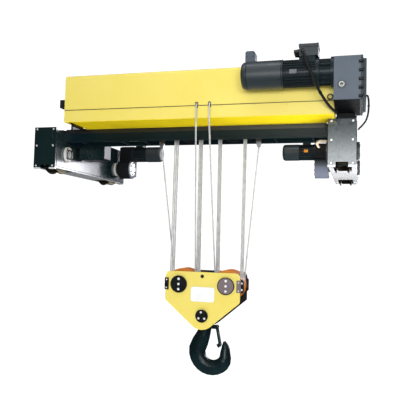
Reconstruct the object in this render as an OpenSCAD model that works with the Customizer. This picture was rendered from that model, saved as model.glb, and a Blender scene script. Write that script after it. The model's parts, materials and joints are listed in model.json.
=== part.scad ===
// Electric wire rope hoist on a two-rail trolley, with a double-plate hook block.
// Millimetres. +Z is up, +X runs across the two rails, and -Y is the front, where the hoist motor sits.
// The origin lies midway between the rails, level with their tops, midway along the wheel base.

/* [Trolley] */
// Distance between the centres of the two rails
gauge = 2800; // [2700:50:3000]
// Distance between the front and rear wheel axles
wheel_base = 1200; // [1150:10:1250]
// Radius of a wheel's tread
wheel_r = 175; // [165:1:185]
// Width of an end carriage
carriage_w = 234; // [220:2:250]
// Length of an end carriage with its end plates
carriage_l = 1664; // [1620:4:1700]
// Height of a carriage's top above the rails
carriage_top = 415; // [405:1:420]
// Plate thickness of the carriages
carriage_t = 14; // [10:1:18]

/* [Drum and cover] */
// Radius at which the rope lies on the drum
drum_r = 150; // [140:1:152]
// Left end of the drum cover
cover_x0 = -1096; // [-1120:1:-1080]
// Right end of the drum cover
cover_x1 = 1340; // [1335:1:1343]
// Depth of the drum cover, front to back
cover_depth = 350; // [340:1:352]
// Bottom of the drum cover above the rails
cover_bottom = 416; // [416:1:418]
// Height of the seam between the two cover halves
cover_seam = 524; // [515:1:530]
// Top of the drum cover
cover_top = 852; // [845:1:860]
// Sheet thickness of the drum cover
cover_t = 5; // [3:1:6]

/* [Rope] */
// Diameter of the wire rope
rope_d = 15; // [12:1:16]
// Radius at which the rope lies on a sheave
sheave_r = 120; // [115:1:122]
// Distance between neighbouring sheaves on one pin
sheave_pitch = 52; // [50:1:56]

/* [Hook block] */
// Place of the hook block along X
block_x = 182; // [160:1:200]
// Height of the two sheave pins of the block
block_pin_z = -1043; // [-1060:1:-1030]
// Half the distance between the two sheave pins
pin_half = 214; // [210:1:218]
// Width of a block side plate
block_w = 696; // [680:2:710]
// Distance between the outer faces of the side plates
block_depth = 350; // [340:2:360]
// Radius of the hook's throat
throat_r = 71; // [66:1:74]

/* [Hoist drive] */
// Radius of the hoist motor's fan cover
motor_r = 115; // [110:1:118]
// Left end of the hoist motor
motor_x0 = 600; // [590:1:620]

/* [Hidden] */

fine = 72;
gap = 0.4;
run_fit = 0.05;
yellow = [0.93, 0.84, 0.36];
dark_teal = [0.10, 0.14, 0.15];
grey = [0.45, 0.47, 0.52];
black = [0.04, 0.04, 0.05];
steel = [0.72, 0.73, 0.75];
rope_grey = [0.62, 0.62, 0.62];
sheave_orange = [0.80, 0.36, 0.12];

// ---- Places worked out from the driving sizes ----
rail_x = gauge / 2;
inner_x = rail_x - carriage_w / 2;
wheel_y = wheel_base / 2;
end_t = 20;
carriage_bottom = 22;
axle_r = 35;
flange_r = wheel_r + 18;
wheel_w = 124;

cover_y0 = -1027;
cover_y1 = cover_y0 + cover_depth;
drum_y = (cover_y0 + cover_y1) / 2;
drum_z = 636;
drum_x0 = cover_x0 + 76;
drum_x1 = cover_x1 - 60;

frame_y0 = -671;
frame_y1 = -399;
frame_z0 = 287;
frame_z1 = 385;
frame_mid_y = (frame_y0 + frame_y1) / 2;
plate_t = 20;
bracket_y = -545;

block_y = frame_mid_y;
upper_z = 430;
rim_r = sheave_r + 20;
sheave_w = 40;
pin_r = 38;
function block_sheave_y(k) = block_y + (k - 2.5) * sheave_pitch;
function upper_sheave_y(k) = block_y + (k - 2) * sheave_pitch;
function pin_x(side) = block_x + side * pin_half;
anchor_mid = 150;
anchor_half = 480;
function anchor_x(side) = anchor_mid + side * anchor_half;
anchor_z = 330;
anchor_bolt_r = 14;
exit_mid = 236;
exit_half = 58;
function exit_x(side) = exit_mid + side * exit_half;
exit_y = cover_y0 - rope_d / 2 - 4;
exit_z = 515;
fold_z = cover_bottom - 6;
bend_y = drum_y - drum_r - 8;
bend_z = exit_z + 40;

top_corner = 34;

gear_x0 = cover_x1 + 6;
gear_x1 = 1547;
cover_plate_t = 42;
gear_y0 = -1290;
gear_y1 = -640;
gear_z0 = 466;
gear_z1 = 812;
gear_wall = 14;
sight_z = 586;
motor_y = -1157;
motor_z = 723;
motor_axis_r = 30;
fan_x1 = 946;
stator_x1 = 1205;

pinion_n = 14;
wheel_n = 48;
first_module = 5;
pinion2_n = 15;
wheel2_n = 45;
second_module = 6;
first_centres = first_module * (pinion_n + wheel_n) / 2;
second_centres = second_module * (pinion2_n + wheel2_n) / 2;
centre_span = norm([drum_y - motor_y, drum_z - motor_z]);
centre_angle = atan2(drum_z - motor_z, drum_y - motor_y);
lay_angle = acos((pow(first_centres, 2) + pow(centre_span, 2) - pow(second_centres, 2))
    / (2 * first_centres * centre_span));
mid_angle = centre_angle - lay_angle;
mid_y = motor_y + first_centres * cos(mid_angle);
mid_z = motor_z + first_centres * sin(mid_angle);
stage1_x = gear_x0 + 36;
stage2_x = stage1_x + 62;

travel_z = 352;
travel_y = wheel_y + 40;
case_w = 144;
case_gap = 64;
travel_r = 88;

plate_t2 = 22;
block_front_y = block_y - block_depth / 2;
block_rear_y = block_y + block_depth / 2;
block_top_z = block_pin_z + 116;
block_side_z = block_pin_z - 152;
trunnion_z = block_pin_z - 276;
trunnion_r = 40;
block_nose_r = 132;
block_nose_z = block_pin_z - 268;
shank_x = block_x + 4;
clip_set = 58;
throat_dx = 68;
throat_z = trunnion_z - 346;
shank_r = 52;

// ---- Small shared shapes ----
module along_x(x, y, z, r, length) {
    translate([x, y, z]) rotate([0, 90, 0]) cylinder(h = length, r = r, $fn = fine);
}

module along_y(x, y, z, r, length) {
    translate([x, y, z]) rotate([-90, 0, 0]) cylinder(h = length, r = r, $fn = fine);
}

module box_at(low, high) {
    translate(low) cube(high - low);
}

module rounded_rect(w, h, r) {
    union() {
        square([w - 2 * r, h], center = true);
        square([w, h - 2 * r], center = true);
        for (sx = [-1, 1], sy = [-1, 1])
            translate([sx * (w / 2 - r), sy * (h / 2 - r)]) circle(r = r, $fn = 32);
    }
}

// A hexagon bolt head whose shank points along -Y before it is turned
module bolt_head(size) {
    rotate([90, 0, 0]) cylinder(h = size * 0.65, r = size, $fn = 6);
    rotate([90, 0, 0]) cylinder(h = size * 0.22, r = size * 1.25, $fn = 24);
}

// A toothed gear about X with straight-flanked teeth and generous backlash
module spur_gear(teeth, module_size, width, start) {
    pitch_r = teeth * module_size / 2;
    root_r = pitch_r - 1.15 * module_size;
    tip_r = pitch_r + 0.85 * module_size;
    half = 360 / teeth / 4;
    rotate([90, 0, 90]) linear_extrude(width) union() {
        circle(r = root_r, $fn = fine);
        for (i = [0 : teeth - 1]) rotate(start + i * 360 / teeth) polygon([
            [root_r - 2, -root_r * sin(half * 1.15)], [pitch_r, -pitch_r * sin(half * 0.8)],
            [tip_r, -tip_r * sin(half * 0.38)], [tip_r, tip_r * sin(half * 0.38)],
            [pitch_r, pitch_r * sin(half * 0.8)], [root_r - 2, root_r * sin(half * 1.15)]]);
    }
}

// ---- Swept tube for cables and ropes ----
function tangent(p, i) = let (a = p[max(i - 1, 0)], b = p[min(i + 1, len(p) - 1)]) (b - a) / norm(b - a);
function side_axis(t, ref) = let (c = cross(t, ref)) c / norm(c);
function ring(c, t, r, n, ref) = let (u = side_axis(t, ref), v = cross(u, t))
    [for (k = [0 : n - 1]) c + r * (cos(360 * k / n) * u + sin(360 * k / n) * v)];
function smooth_point(a, b, c, d, s) = 0.5 * ((2 * b) + (c - a) * s
    + (2 * a - 5 * b + 4 * c - d) * s * s + (3 * b - a - 3 * c + d) * s * s * s);
function smooth_path(p, steps) = concat([for (i = [0 : len(p) - 2], s = [0 : steps - 1])
    smooth_point(p[max(i - 1, 0)], p[i], p[i + 1], p[min(i + 2, len(p) - 1)], s / steps)],
    [p[len(p) - 1]]);

// ref is any direction that the path never runs along
module tube(path, r, n, ref) {
    count = len(path);
    points = [for (i = [0 : count - 1]) each ring(path[i], tangent(path, i), r, n, ref)];
    sides = [for (i = [0 : count - 2], k = [0 : n - 1])
        [i * n + k, i * n + (k + 1) % n, (i + 1) * n + (k + 1) % n, (i + 1) * n + k]];
    first = [[for (k = [0 : n - 1]) n - 1 - k]];
    last = [[for (k = [0 : n - 1]) (count - 1) * n + k]];
    polyhedron(points = points, faces = concat(first, sides, last), convexity = 6);
}

module rod(a, b, r) {
    d = b - a;
    translate(a) rotate([0, acos(d[2] / norm(d)), atan2(d[1], d[0])])
        cylinder(h = norm(d), r = r, $fn = 16);
}

// ---- Trolley ----
module end_carriage(side) {
    half_l = carriage_l / 2 - end_t;
    w = carriage_w;
    t = carriage_t;
    color(dark_teal) translate([side * rail_x, 0, 0]) difference() {
        union() {
            box_at([-w / 2, -half_l, carriage_bottom], [w / 2, half_l, carriage_top]);
            box_at([-w / 2 - (side > 0 ? 26 : 0), -330, carriage_top - 18],
                [w / 2 + (side < 0 ? 26 : 0), 330, carriage_top]);
        }
        box_at([-w / 2 + t, -half_l - 1, carriage_bottom + t], [w / 2 - t, half_l + 1, carriage_top - t]);
        for (end = [-1, 1]) {
            box_at([-76, end * wheel_y - 215, carriage_bottom - 1],
                [76, end * wheel_y + 215, carriage_bottom + t + 1]);
            along_x(-w / 2 - 1, end * wheel_y, wheel_r, 62, w + 2);
        }
    }
}

module end_carriage_left() {
    end_carriage(-1);
}

module end_carriage_right() {
    end_carriage(1);
}

module carriage_end_plates() {
    notch_w = 104;
    notch_h = 26;
    color(dark_teal) for (side = [-1, 1], end = [-1, 1]) {
        y0 = end > 0 ? carriage_l / 2 - end_t : -carriage_l / 2;
        translate([side * rail_x, y0, 0]) rotate([90, 0, 0]) mirror([0, 0, 1]) linear_extrude(end_t)
            difference() {
                translate([-carriage_w / 2, 8]) square([carriage_w, carriage_top - 8]);
                translate([-notch_w / 2, 7]) square([notch_w, notch_h + 16]);
            }
    }
}

module bearing_housing(x, y, out) {
    length = 24;
    translate([x, y, wheel_r]) rotate([0, out * 90, 0]) difference() {
        union() {
            cylinder(h = length, r = 78, $fn = fine);
            translate([0, 0, -carriage_t]) cylinder(h = carriage_t + 1, r = 61.5, $fn = fine);
        }
        translate([0, 0, -carriage_t - 1])
            cylinder(h = length + carriage_t + 2, r = axle_r + run_fit, $fn = fine);
    }
}

module bearing_housings() {
    color(steel) for (side = [-1, 1], end = [-1, 1]) {
        bearing_housing(side * (rail_x + carriage_w / 2), end * wheel_y, side);
        bearing_housing(side * inner_x, end * wheel_y, -side);
    }
}

module wheel(side, end) {
    driven = end > 0 ? case_gap + case_w - 30 : 18;
    inside = carriage_w / 2 + driven;
    outside = carriage_w / 2 + 18;
    color([0.35, 0.31, 0.24]) translate([side * rail_x, end * wheel_y, wheel_r]) union() {
        rotate([0, 90, 0]) rotate_extrude($fn = 96) polygon([[20, -50], [62, -50], [62, -wheel_w / 2],
            [flange_r - 4, -wheel_w / 2], [flange_r, -wheel_w / 2 + 6], [flange_r, -wheel_w / 2 + 14],
            [wheel_r, -wheel_w / 2 + 24], [wheel_r, wheel_w / 2 - 24], [flange_r, wheel_w / 2 - 14],
            [flange_r, wheel_w / 2 - 6], [flange_r - 4, wheel_w / 2], [62, wheel_w / 2], [62, 50], [20, 50]]);
        along_x(side > 0 ? -inside : -outside, 0, 0, axle_r, inside + outside);
    }
}

module wheel_front_left() {
    wheel(-1, -1);
}

module wheel_front_right() {
    wheel(1, -1);
}

module wheel_rear_left() {
    wheel(-1, 1);
}

module wheel_rear_right() {
    wheel(1, 1);
}

// ---- Sheave frame between the carriages, with the drum's left bearing pedestal ----
module frame_plate_outline(hump) {
    difference() {
        union() {
            translate([-inner_x, frame_z0]) square([2 * inner_x, hump - frame_z0]);
            for (side = [-1, 1]) {
                translate([pin_x(side), upper_z]) circle(r = 78, $fn = fine);
                translate([pin_x(side) - 110, frame_z0]) square([220, upper_z - frame_z0 - 8]);
            }
        }
        for (side = [-1, 1]) translate([pin_x(side), upper_z]) circle(r = pin_r + run_fit, $fn = fine);
    }
}

module upright_plate(y, thickness, hump) {
    translate([0, y, 0]) rotate([90, 0, 0]) mirror([0, 0, 1]) linear_extrude(thickness)
        frame_plate_outline(hump);
}

module sheave_frame() {
    web_x = [-1130, -700, -480, 790, 1130];
    color(grey) union() {
        upright_plate(frame_y0, plate_t, frame_z1);
        upright_plate(frame_y1 - plate_t, plate_t, frame_z1);
        box_at([-inner_x, frame_y0 - 12, frame_z0], [inner_x, frame_y0 + 1, frame_z0 + 10]);
        box_at([-inner_x, frame_y1 - 1, frame_z0], [inner_x, frame_y1 + 12, frame_z0 + 10]);
        for (x = web_x)
            box_at([x, frame_y0 + 1, frame_z0 + 4], [x + 16, frame_y1 - 1, frame_z1 - 6]);
        difference() {
            box_at([-inner_x, frame_y0 + 13, frame_z1 - 6], [inner_x, frame_y0 + plate_t, cover_bottom - 5]);
            for (side = [-1, 1]) along_y(pin_x(side), frame_y0, upper_z, pin_r + run_fit, 60);
        }
        for (side = [-1, 1]) {
            end_x = side > 0 ? inner_x - 18 : -inner_x;
            box_at([end_x, frame_y0, frame_z0 - 10], [end_x + 18, frame_y1 + 60, frame_z1 + 10]);
            box_at([end_x, bracket_y, frame_z1], [end_x + 18, frame_y1 + 20, 500]);
        }
        for (side = [-1, 1])
            difference() {
                box_at([anchor_x(side) - 40, frame_y1 - plate_t - 96, anchor_z + 22],
                    [anchor_x(side) + 40, frame_y1 - plate_t + 1, anchor_z + 50]);
                translate([anchor_x(side), block_sheave_y(4), anchor_z])
                    cylinder(h = 60, r = anchor_bolt_r + run_fit, $fn = 32);
            }
        drum_pedestal();
    }
}

module drum_pedestal() {
    x0 = drum_x0 - 46;
    difference() {
        union() {
            box_at([x0, drum_y - 90, 396], [x0 + 24, frame_y0 + 1 + plate_t, 408]);
            box_at([x0, drum_y - 90, 396], [x0 + 24, drum_y + 90, drum_z]);
            along_x(x0, drum_y, drum_z, 90, 24);
            box_at([x0, frame_y0, frame_z1 - 10], [x0 + 24, frame_y0 + plate_t, 408]);
        }
        along_x(x0 - 1, drum_y, drum_z, 40 + run_fit, 26);
    }
}

module upper_sheave_pins() {
    color(steel) for (side = [-1, 1])
        along_y(pin_x(side), frame_y0 - 4 + 8, upper_z, pin_r, frame_y1 - frame_y0 + 8);
}

module wedge_sockets() {
    y = block_sheave_y(4);
    depth = 34;
    head_w = 29;
    foot_w = 14;
    color(steel) for (side = [-1, 1]) union() {
        translate([anchor_x(side), y, anchor_z + 20]) rotate([180, 0, 0])
            linear_extrude(24) rounded_rect(2 * head_w, depth, 8);
        translate([anchor_x(side), y - depth / 2, 0]) rotate([90, 0, 0]) mirror([0, 0, 1])
            linear_extrude(depth) polygon([[-head_w, anchor_z], [head_w, anchor_z], [22, anchor_z - 50],
                [foot_w, anchor_z - 84], [-foot_w, anchor_z - 84], [-22, anchor_z - 50]]);
        translate([anchor_x(side), y, anchor_z + 19]) cylinder(h = 62, r = anchor_bolt_r, $fn = 32);
        translate([anchor_x(side), y, anchor_z + 50 + gap]) cylinder(h = 22, r = 24, $fn = 6);
    }
}

// ---- Rope: two drum falls, two dead-end falls and twelve between the sheaves ----
module side_falls(side) {
    outer = pin_x(side) + side * sheave_r;
    inner = pin_x(side) - side * sheave_r;
    rod([outer, block_sheave_y(4), block_pin_z], [anchor_x(side), block_sheave_y(4), anchor_z - 86.5],
        rope_d / 2);
    tube([[inner, block_sheave_y(1), block_pin_z], [inner, block_sheave_y(1), block_pin_z + 100],
        [exit_x(side), exit_y, fold_z], [exit_x(side), exit_y, exit_z], [exit_x(side), bend_y, bend_z],
        [exit_x(side), drum_y - drum_r - 2.5, drum_z]], rope_d / 2, 12, [1, 0, 0]);
    for (k = [1 : 3]) {
        rod([outer, block_sheave_y(k), block_pin_z], [outer, upper_sheave_y(k), upper_z], rope_d / 2);
        rod([inner, block_sheave_y(k + 1), block_pin_z], [inner, upper_sheave_y(k), upper_z], rope_d / 2);
    }
}

module rope_falls() {
    color(rope_grey) for (side = [-1, 1]) side_falls(side);
}

// ---- Drum cover ----
module cover_outline(low, high, round_top) {
    d = cover_depth;
    r = round_top ? top_corner : 0.01;
    union() {
        translate([0, low]) square([d, high - low - r]);
        translate([r, high - r - 1]) square([d - 2 * r, r + 1]);
        if (round_top) for (y = [r, d - r])
            translate([y, high - r]) circle(r = r, $fn = 48);
    }
}

module cover_shell(low, high, round_top, open_bottom) {
    t = cover_t;
    length = cover_x1 - cover_x0;
    translate([cover_x0, cover_y0, 0]) difference() {
        rotate([90, 0, 90]) linear_extrude(length) cover_outline(low, high, round_top);
        translate([t, t, open_bottom ? -1 : t]) rotate([90, 0, 90]) linear_extrude(length - 2 * t)
            cover_inner_outline(low, high, round_top, open_bottom);
    }
}

module cover_inner_outline(low, high, round_top, open_bottom) {
    d = cover_depth - 2 * cover_t;
    r = round_top ? top_corner - cover_t + 1 : 0.01;
    top = open_bottom ? high - cover_t + 1 : high + 20;
    union() {
        translate([0, low]) square([d, top - low - r]);
        translate([r, top - r - 1]) square([d - 2 * r, r + 1]);
        if (round_top) for (y = [r, d - r])
            translate([y, top - r]) circle(r = r, $fn = 48);
    }
}

module rope_slot(side) {
    box_at([exit_x(side) - 13, cover_y0 - 1, exit_z - 10], [exit_x(side) + 13, cover_y0 + 40, exit_z + 42]);
}

module drum_cover_upper() {
    color(yellow) difference() {
        cover_shell(cover_seam + 3, cover_top, true, true);
        for (side = [-1, 1]) rope_slot(side);
        along_x(cover_x1 - cover_t - 1, drum_y, drum_z, 62, cover_t + 2);
        along_x(cover_x0 - 1, drum_y, drum_z, 44, cover_t + 2);
    }
}

module drum_cover_lower() {
    color(yellow) difference() {
        cover_shell(cover_bottom, cover_seam, false, false);
        for (side = [-1, 1]) rope_slot(side);
        box_at([drum_x0 - 52, cover_y0 + cover_t + 4, cover_bottom - 1],
            [drum_x0 - 16, cover_y1 + 1, cover_bottom + cover_t + 2]);
        box_at([drum_x0 - 52, cover_y1 - cover_t - 1, cover_bottom - 1],
            [drum_x0 - 16, cover_y1 + 1, cover_seam + 1]);
    }
}

// ---- Hoist gearbox ----
module gearbox_prism(x0, x1, inset) {
    translate([x0, 0, 0]) rotate([90, 0, 90]) linear_extrude(x1 - x0) difference() {
        translate([gear_y0 + inset, gear_z0 + inset])
            square([gear_y1 - gear_y0 - 2 * inset, gear_z1 - gear_z0 - 2 * inset]);
        translate([gear_y0 + inset, gear_z1 - inset]) rotate(45) square([18, 18], center = true);
        for (z = [gear_z0 + inset, gear_z1 - inset])
            translate([gear_y1 - inset, z]) rotate(45) square([64, 64], center = true);
    }
}

module gearbox_housing() {
    foot_x1 = inner_x + carriage_w - 8;
    color(grey) difference() {
        union() {
            gearbox_prism(gear_x0, gear_x1, 0);
            box_at([gear_x0, gear_y0 + 70, gear_z1 - 10], [gear_x0 + 56, gear_y0 + 190, gear_z1 + 10]);
            box_at([gear_x0 + 6, carriage_l / -2 + 30, carriage_top + gap],
                [gear_x1 - 40, gear_y1 + 10, gear_z0 + 6]);
            box_at([gear_x0, -800, carriage_top + gap], [foot_x1 + 8, -600, carriage_top + 26]);
        }
        gearbox_prism(gear_x0 + gear_wall, gear_x1 + 1, gear_wall);
        along_x(gear_x0 - 1, drum_y, drum_z, 40 + run_fit, gear_wall + 2);
        along_x(gear_x0 - 1, motor_y, motor_z, motor_axis_r + run_fit, gear_wall + 2);
        along_x(gear_x0 + 4, mid_y, mid_z, 25 + run_fit, gear_wall);
        along_y(gear_x0 + 60, gear_y0 - 1, sight_z, 13, gear_wall + 2);
    }
}

module gearbox_cover() {
    x0 = gear_x1 + gap;
    color(grey) difference() {
        union() {
            gearbox_prism(x0, x0 + 16, 0);
            gearbox_prism(x0 + 15, x0 + cover_plate_t, 22);
        }
        along_x(x0 - 1, drum_y, drum_z, 40 + run_fit, 22);
        along_x(x0 - 1, mid_y, mid_z, 25 + run_fit, 22);
        along_x(x0 - 1, motor_y, motor_z, motor_axis_r + run_fit, 22);
    }
}

module oil_sight_glass() {
    color([0.85, 0.85, 0.80]) translate([gear_x0 + 60, gear_y0, sight_z]) union() {
        rotate([90, 0, 0]) difference() {
            cylinder(h = 8, r = 21, $fn = 40);
            translate([0, 0, 4]) cylinder(h = 5, r = 13, $fn = 40);
        }
        rotate([90, 0, 0]) translate([0, 0, -12]) cylinder(h = 13, r = 12.6, $fn = 40);
    }
}

module lifting_eye() {
    color(black) translate([gear_x0 - 32, gear_y0 + 160, 530]) union() {
        rotate([90, 0, 0]) difference() {
            union() {
                cylinder(h = 12, r = 26, $fn = 40, center = true);
                translate([12, -7, -6]) cube([19.6, 14, 12]);
            }
            cylinder(h = 14, r = 15, $fn = 40, center = true);
        }
    }
}

// ---- Hoist motor ----
module motor_stator() {
    fins = 28;
    core_r = motor_r - 18;
    color(dark_teal) difference() {
        union() {
            along_x(fan_x1, motor_y, motor_z, core_r, stator_x1 - fan_x1);
            translate([fan_x1 + 6, motor_y, motor_z]) rotate([90, 0, 90])
                linear_extrude(stator_x1 - fan_x1 - 12) for (i = [0 : fins - 1])
                    rotate(i * 360 / fins) translate([core_r - 2, -2.5]) square([16, 5]);
            box_at([1073, motor_y - 70, motor_z + core_r - 20], [1200, motor_y + 70, motor_z + motor_r + 6]);
        }
        along_x(fan_x1 + 14, motor_y, motor_z, 70, stator_x1 - fan_x1 - 28);
        along_x(fan_x1 - 1, motor_y, motor_z, motor_axis_r + run_fit, stator_x1 - fan_x1 + 2);
    }
}

module motor_fan_cover() {
    length = fan_x1 - gap - motor_x0;
    color(dark_teal) translate([motor_x0, motor_y, motor_z]) rotate([0, 90, 0]) rotate_extrude($fn = 96)
        polygon([[0, 0], [70, 0], [98, 8], [110, 22], [motor_r, 44], [motor_r, length],
            [motor_r - 5, length], [motor_r - 5, 46], [104, 27], [92, 14], [66, 6], [0, 6]]);
}

module motor_flange() {
    x0 = stator_x1 + gap;
    x1 = gear_x0 - gap;
    color(dark_teal) difference() {
        union() {
            along_x(x0, motor_y, motor_z, motor_r + 4, 26);
            along_x(x0 + 25, motor_y, motor_z, 84, x1 - x0 - 50);
            along_x(x1 - 26, motor_y, motor_z, motor_r + 4, 26);
            for (i = [0 : 7]) translate([x0, motor_y, motor_z]) rotate([i * 45 + 22.5, 0, 0])
                translate([0, 60, -6]) cube([x1 - x0, 46, 12]);
        }
        along_x(x0 - 1, motor_y, motor_z, motor_axis_r + run_fit, x1 - x0 + 2);
    }
}

module terminal_box() {
    z0 = motor_z + motor_r + 6 + gap;
    color(grey) union() {
        box_at([1074, motor_y - 76, z0], [1222, motor_y + 76, z0 + 74]);
        box_at([1070, motor_y - 80, z0 + 73], [1226, motor_y + 80, z0 + 96]);
    }
}

module gland(length, r) {
    rotate([0, -90, 0]) union() {
        cylinder(h = length * 0.4, r = r * 1.25, $fn = 6);
        cylinder(h = length, r = r, $fn = 32);
    }
}

module cable_glands() {
    z = motor_z + motor_r + 50;
    color(black) union() {
        for (y = [-44, 4, 46]) translate([1074 - gap, motor_y + y, z]) gland(44, 17);
        translate([1100, motor_y - 76 - gap, z - 6]) rotate([0, 0, 90]) gland(30, 15);
    }
}

module brake_box() {
    top = motor_z + motor_r + 80;
    color([0.62, 0.62, 0.68]) difference() {
        box_at([634, motor_y - 48, motor_z + 80], [716, motor_y + 48, top]);
        along_x(600, motor_y, motor_z, motor_r + gap, 200);
        translate([634, motor_y, top]) rotate([0, 45, 0]) cube([16, 110, 16], center = true);
        translate([716, motor_y, top]) rotate([0, 45, 0]) cube([22, 110, 22], center = true);
    }
}

// The motor's cable runs from its gland across the stator and down to the gearbox foot;
// the second cable leaves the gearbox cover for the connector on the right carriage.
motor_cable_points = [[1100, -1264, 882], [1102, -1288, 874], [1112, -1302, 850], [1130, -1308, 800],
    [1150, -1306, 740], [1176, -1300, 680], [1206, -1270, 610], [1240, -1200, 550], [1276, -1130, 500],
    [1310, -1080, 462], [1340, -1060, 436], [1362, -1040, 426]];
signal_cable_points = [[1589.5, -1000, 560], [1600, -1000, 558], [1608, -998, 530], [1610, -985, 480],
    [1606, -960, 420], [1590, -930, 372], [1568, -900, 346], [1550, -880, 330], [1536, -850, 322],
    [1534, -820, 320]];

module power_cables() {
    color(black) {
        tube(smooth_path(motor_cable_points, 4), 11, 8, [1, -1, 0]);
        tube(smooth_path(signal_cable_points, 4), 8, 8, [1, -1, 0]);
    }
}

// ---- Travel drives on the rear wheels ----
module travel_gear_cases() {
    color(dark_teal) for (side = [-1, 1]) {
        x_out = side * (inner_x - case_gap);
        x_in = x_out - side * case_w;
        difference() {
            union() {
                translate([min(x_out, x_in), 0, 0]) rotate([90, 0, 90]) linear_extrude(case_w) union() {
                    translate([travel_y - 92, 90]) square([184, 340]);
                    translate([wheel_y, wheel_r]) circle(r = 116, $fn = fine);
                    translate([travel_y, travel_z]) circle(r = 98, $fn = fine);
                }
                along_x(side > 0 ? x_out - 1 : x_out - case_gap + 25, wheel_y, wheel_r, 46, case_gap - 24);
            }
            along_x(side > 0 ? inner_x - case_gap - case_w + 20 : -inner_x - 1, wheel_y, wheel_r,
                axle_r + run_fit, case_gap + case_w - 19);
        }
    }
}

module travel_motor_housings() {
    fins = 20;
    color(dark_teal) for (side = [-1, 1]) {
        x_case = side * (inner_x - case_gap - case_w - gap);
        length = 178;
        x0 = side > 0 ? x_case - length : x_case;
        union() {
            along_x(x0, travel_y, travel_z, travel_r - 10, length);
            along_x(side > 0 ? x_case - 16 : x_case, travel_y, travel_z, travel_r + 6, 16);
            translate([side > 0 ? x0 : x0 + 16, travel_y, travel_z]) rotate([90, 0, 90])
                linear_extrude(length - 16) for (i = [0 : fins - 1]) rotate(i * 360 / fins)
                    translate([travel_r - 12, -2.5]) square([12, 5]);
            box_at([x0 + 40, travel_y - 50, travel_z + travel_r - 14],
                [x0 + 130, travel_y + 50, travel_z + travel_r + 22]);
        }
    }
}

module travel_fan_covers() {
    length = 180;
    color(black) for (side = [-1, 1])
        translate([side * (inner_x - case_gap - case_w - 178 - 2 * gap), travel_y, travel_z])
            rotate([0, -side * 90, 0]) rotate_extrude($fn = fine)
                polygon([[travel_r - 3, 0], [travel_r + 2, 0], [travel_r + 2, length - 26],
                    [travel_r - 6, length - 8], [travel_r - 20, length], [0, length], [0, length - 5],
                    [travel_r - 22, length - 5], [travel_r - 10, length - 12], [travel_r - 3, length - 28]]);
}

module junction_box() {
    x0 = -inner_x + 18 + gap;
    color(dark_teal) difference() {
        translate([x0 + 146, frame_y1 + 12.4, (150 + frame_z1) / 2]) rotate([90, 0, 0]) mirror([0, 0, 1])
            linear_extrude(150) rounded_rect(280, frame_z1 - 150, 24);
        translate([x0 + 100, frame_y1 + 90, 149]) cylinder(h = 30, r = 16, $fn = fine);
    }
}

module limit_switch() {
    x0 = cover_x0 - gap;
    color(black) difference() {
        union() {
            box_at([x0 - 70, drum_y - 45, drum_z - 60], [x0, drum_y + 45, drum_z + 44]);
            box_at([x0 - 128, drum_y - 36, drum_z - 50], [x0 - 69, drum_y + 36, drum_z + 26]);
        }
        along_x(x0 - 30, drum_y, drum_z, 14 + run_fit, 32);
    }
}

// ---- Bolts of the fixed structure ----
module end_plate_bolts() {
    for (side = [-1, 1], end = [-1, 1], dx = [-88, 88], z = [40, 235, 395])
        translate([side * rail_x + dx, end * (carriage_l / 2 + gap), z])
            rotate([0, 0, end > 0 ? 180 : 0]) bolt_head(10);
}

module bearing_bolts() {
    circle_r = 60;
    for (side = [-1, 1], face = [-1, 1], end = [-1, 1], a = [45 : 90 : 315])
        translate([side * rail_x + face * (carriage_w / 2 + 24 + gap),
            end * wheel_y + circle_r * cos(a), wheel_r + circle_r * sin(a)])
            rotate([0, 0, face > 0 ? 90 : -90]) bolt_head(8);
}

module carriage_top_bolts() {
    for (side = [-1, 1], y = [-280, -60, 160, 290])
        translate([side * (inner_x - 13), y, carriage_top + gap]) rotate([-90, 0, 0]) bolt_head(9);
}

module gearbox_cover_bolts() {
    edge = 11;
    x = gear_x1 + 16 + 2 * gap;
    for (z = [gear_z0 + 34, gear_z0 + 104, gear_z0 + 174, gear_z0 + 244, gear_z1 - 34])
        translate([x, gear_y0 + edge, z]) rotate([0, 0, 90]) bolt_head(8);
    for (y = [gear_y0 + 110 : 105 : gear_y1 - 80], z = [gear_z0 + edge, gear_z1 - edge])
        translate([x, y, z]) rotate([0, 0, 90]) bolt_head(8);
}

module hex_bolts() {
    color(steel) {
        end_plate_bolts();
        bearing_bolts();
        carriage_top_bolts();
        gearbox_cover_bolts();
    }
}

// ---- Hoist drum and gear train ----
module hoist_drum() {
    length = drum_x1 - drum_x0;
    pitch = 60;
    color([0.30, 0.30, 0.32]) translate([drum_x0, drum_y, drum_z]) union() {
        rotate([0, 90, 0]) rotate_extrude($fn = 96) polygon(concat([[120, 0], [166, 0], [166, 14]],
            [for (i = [0 : floor((length - 28) / pitch) - 1], s = [0, 1])
                [drum_r - rope_d / 2 + (s == 0 ? 0 : 2), 14 + i * pitch + s * pitch / 2]],
            [[drum_r - rope_d / 2, length - 14], [166, length - 14], [166, length], [120, length]]));
        rotate([0, 90, 0]) difference() {
            cylinder(h = 24, r = 125, $fn = fine);
            for (a = [0 : 60 : 300]) rotate(a) translate([82, 0, -1]) cylinder(h = 26, r = 20, $fn = 32);
        }
        translate([length - 24, 0, 0]) rotate([0, 90, 0]) cylinder(h = 24, r = 125, $fn = fine);
        rotate([0, 90, 0]) translate([0, 0, -50]) cylinder(h = 74, r = 40, $fn = fine);
        rotate([0, 90, 0]) translate([0, 0, -102]) cylinder(h = 60, r = 14, $fn = fine);
        rotate([0, 90, 0]) translate([0, 0, length - 24])
            cylinder(h = gear_x1 + 18 - drum_x1 + 24, r = 40, $fn = fine);
    }
}

module drum_gear() {
    color(steel) translate([stage2_x, drum_y, drum_z]) difference() {
        spur_gear(wheel2_n, second_module, 60, drum_gear_turn);
        translate([-1, 0, 0]) rotate([0, 90, 0]) cylinder(h = 62, r = 40 + run_fit, $fn = fine);
    }
}

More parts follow.
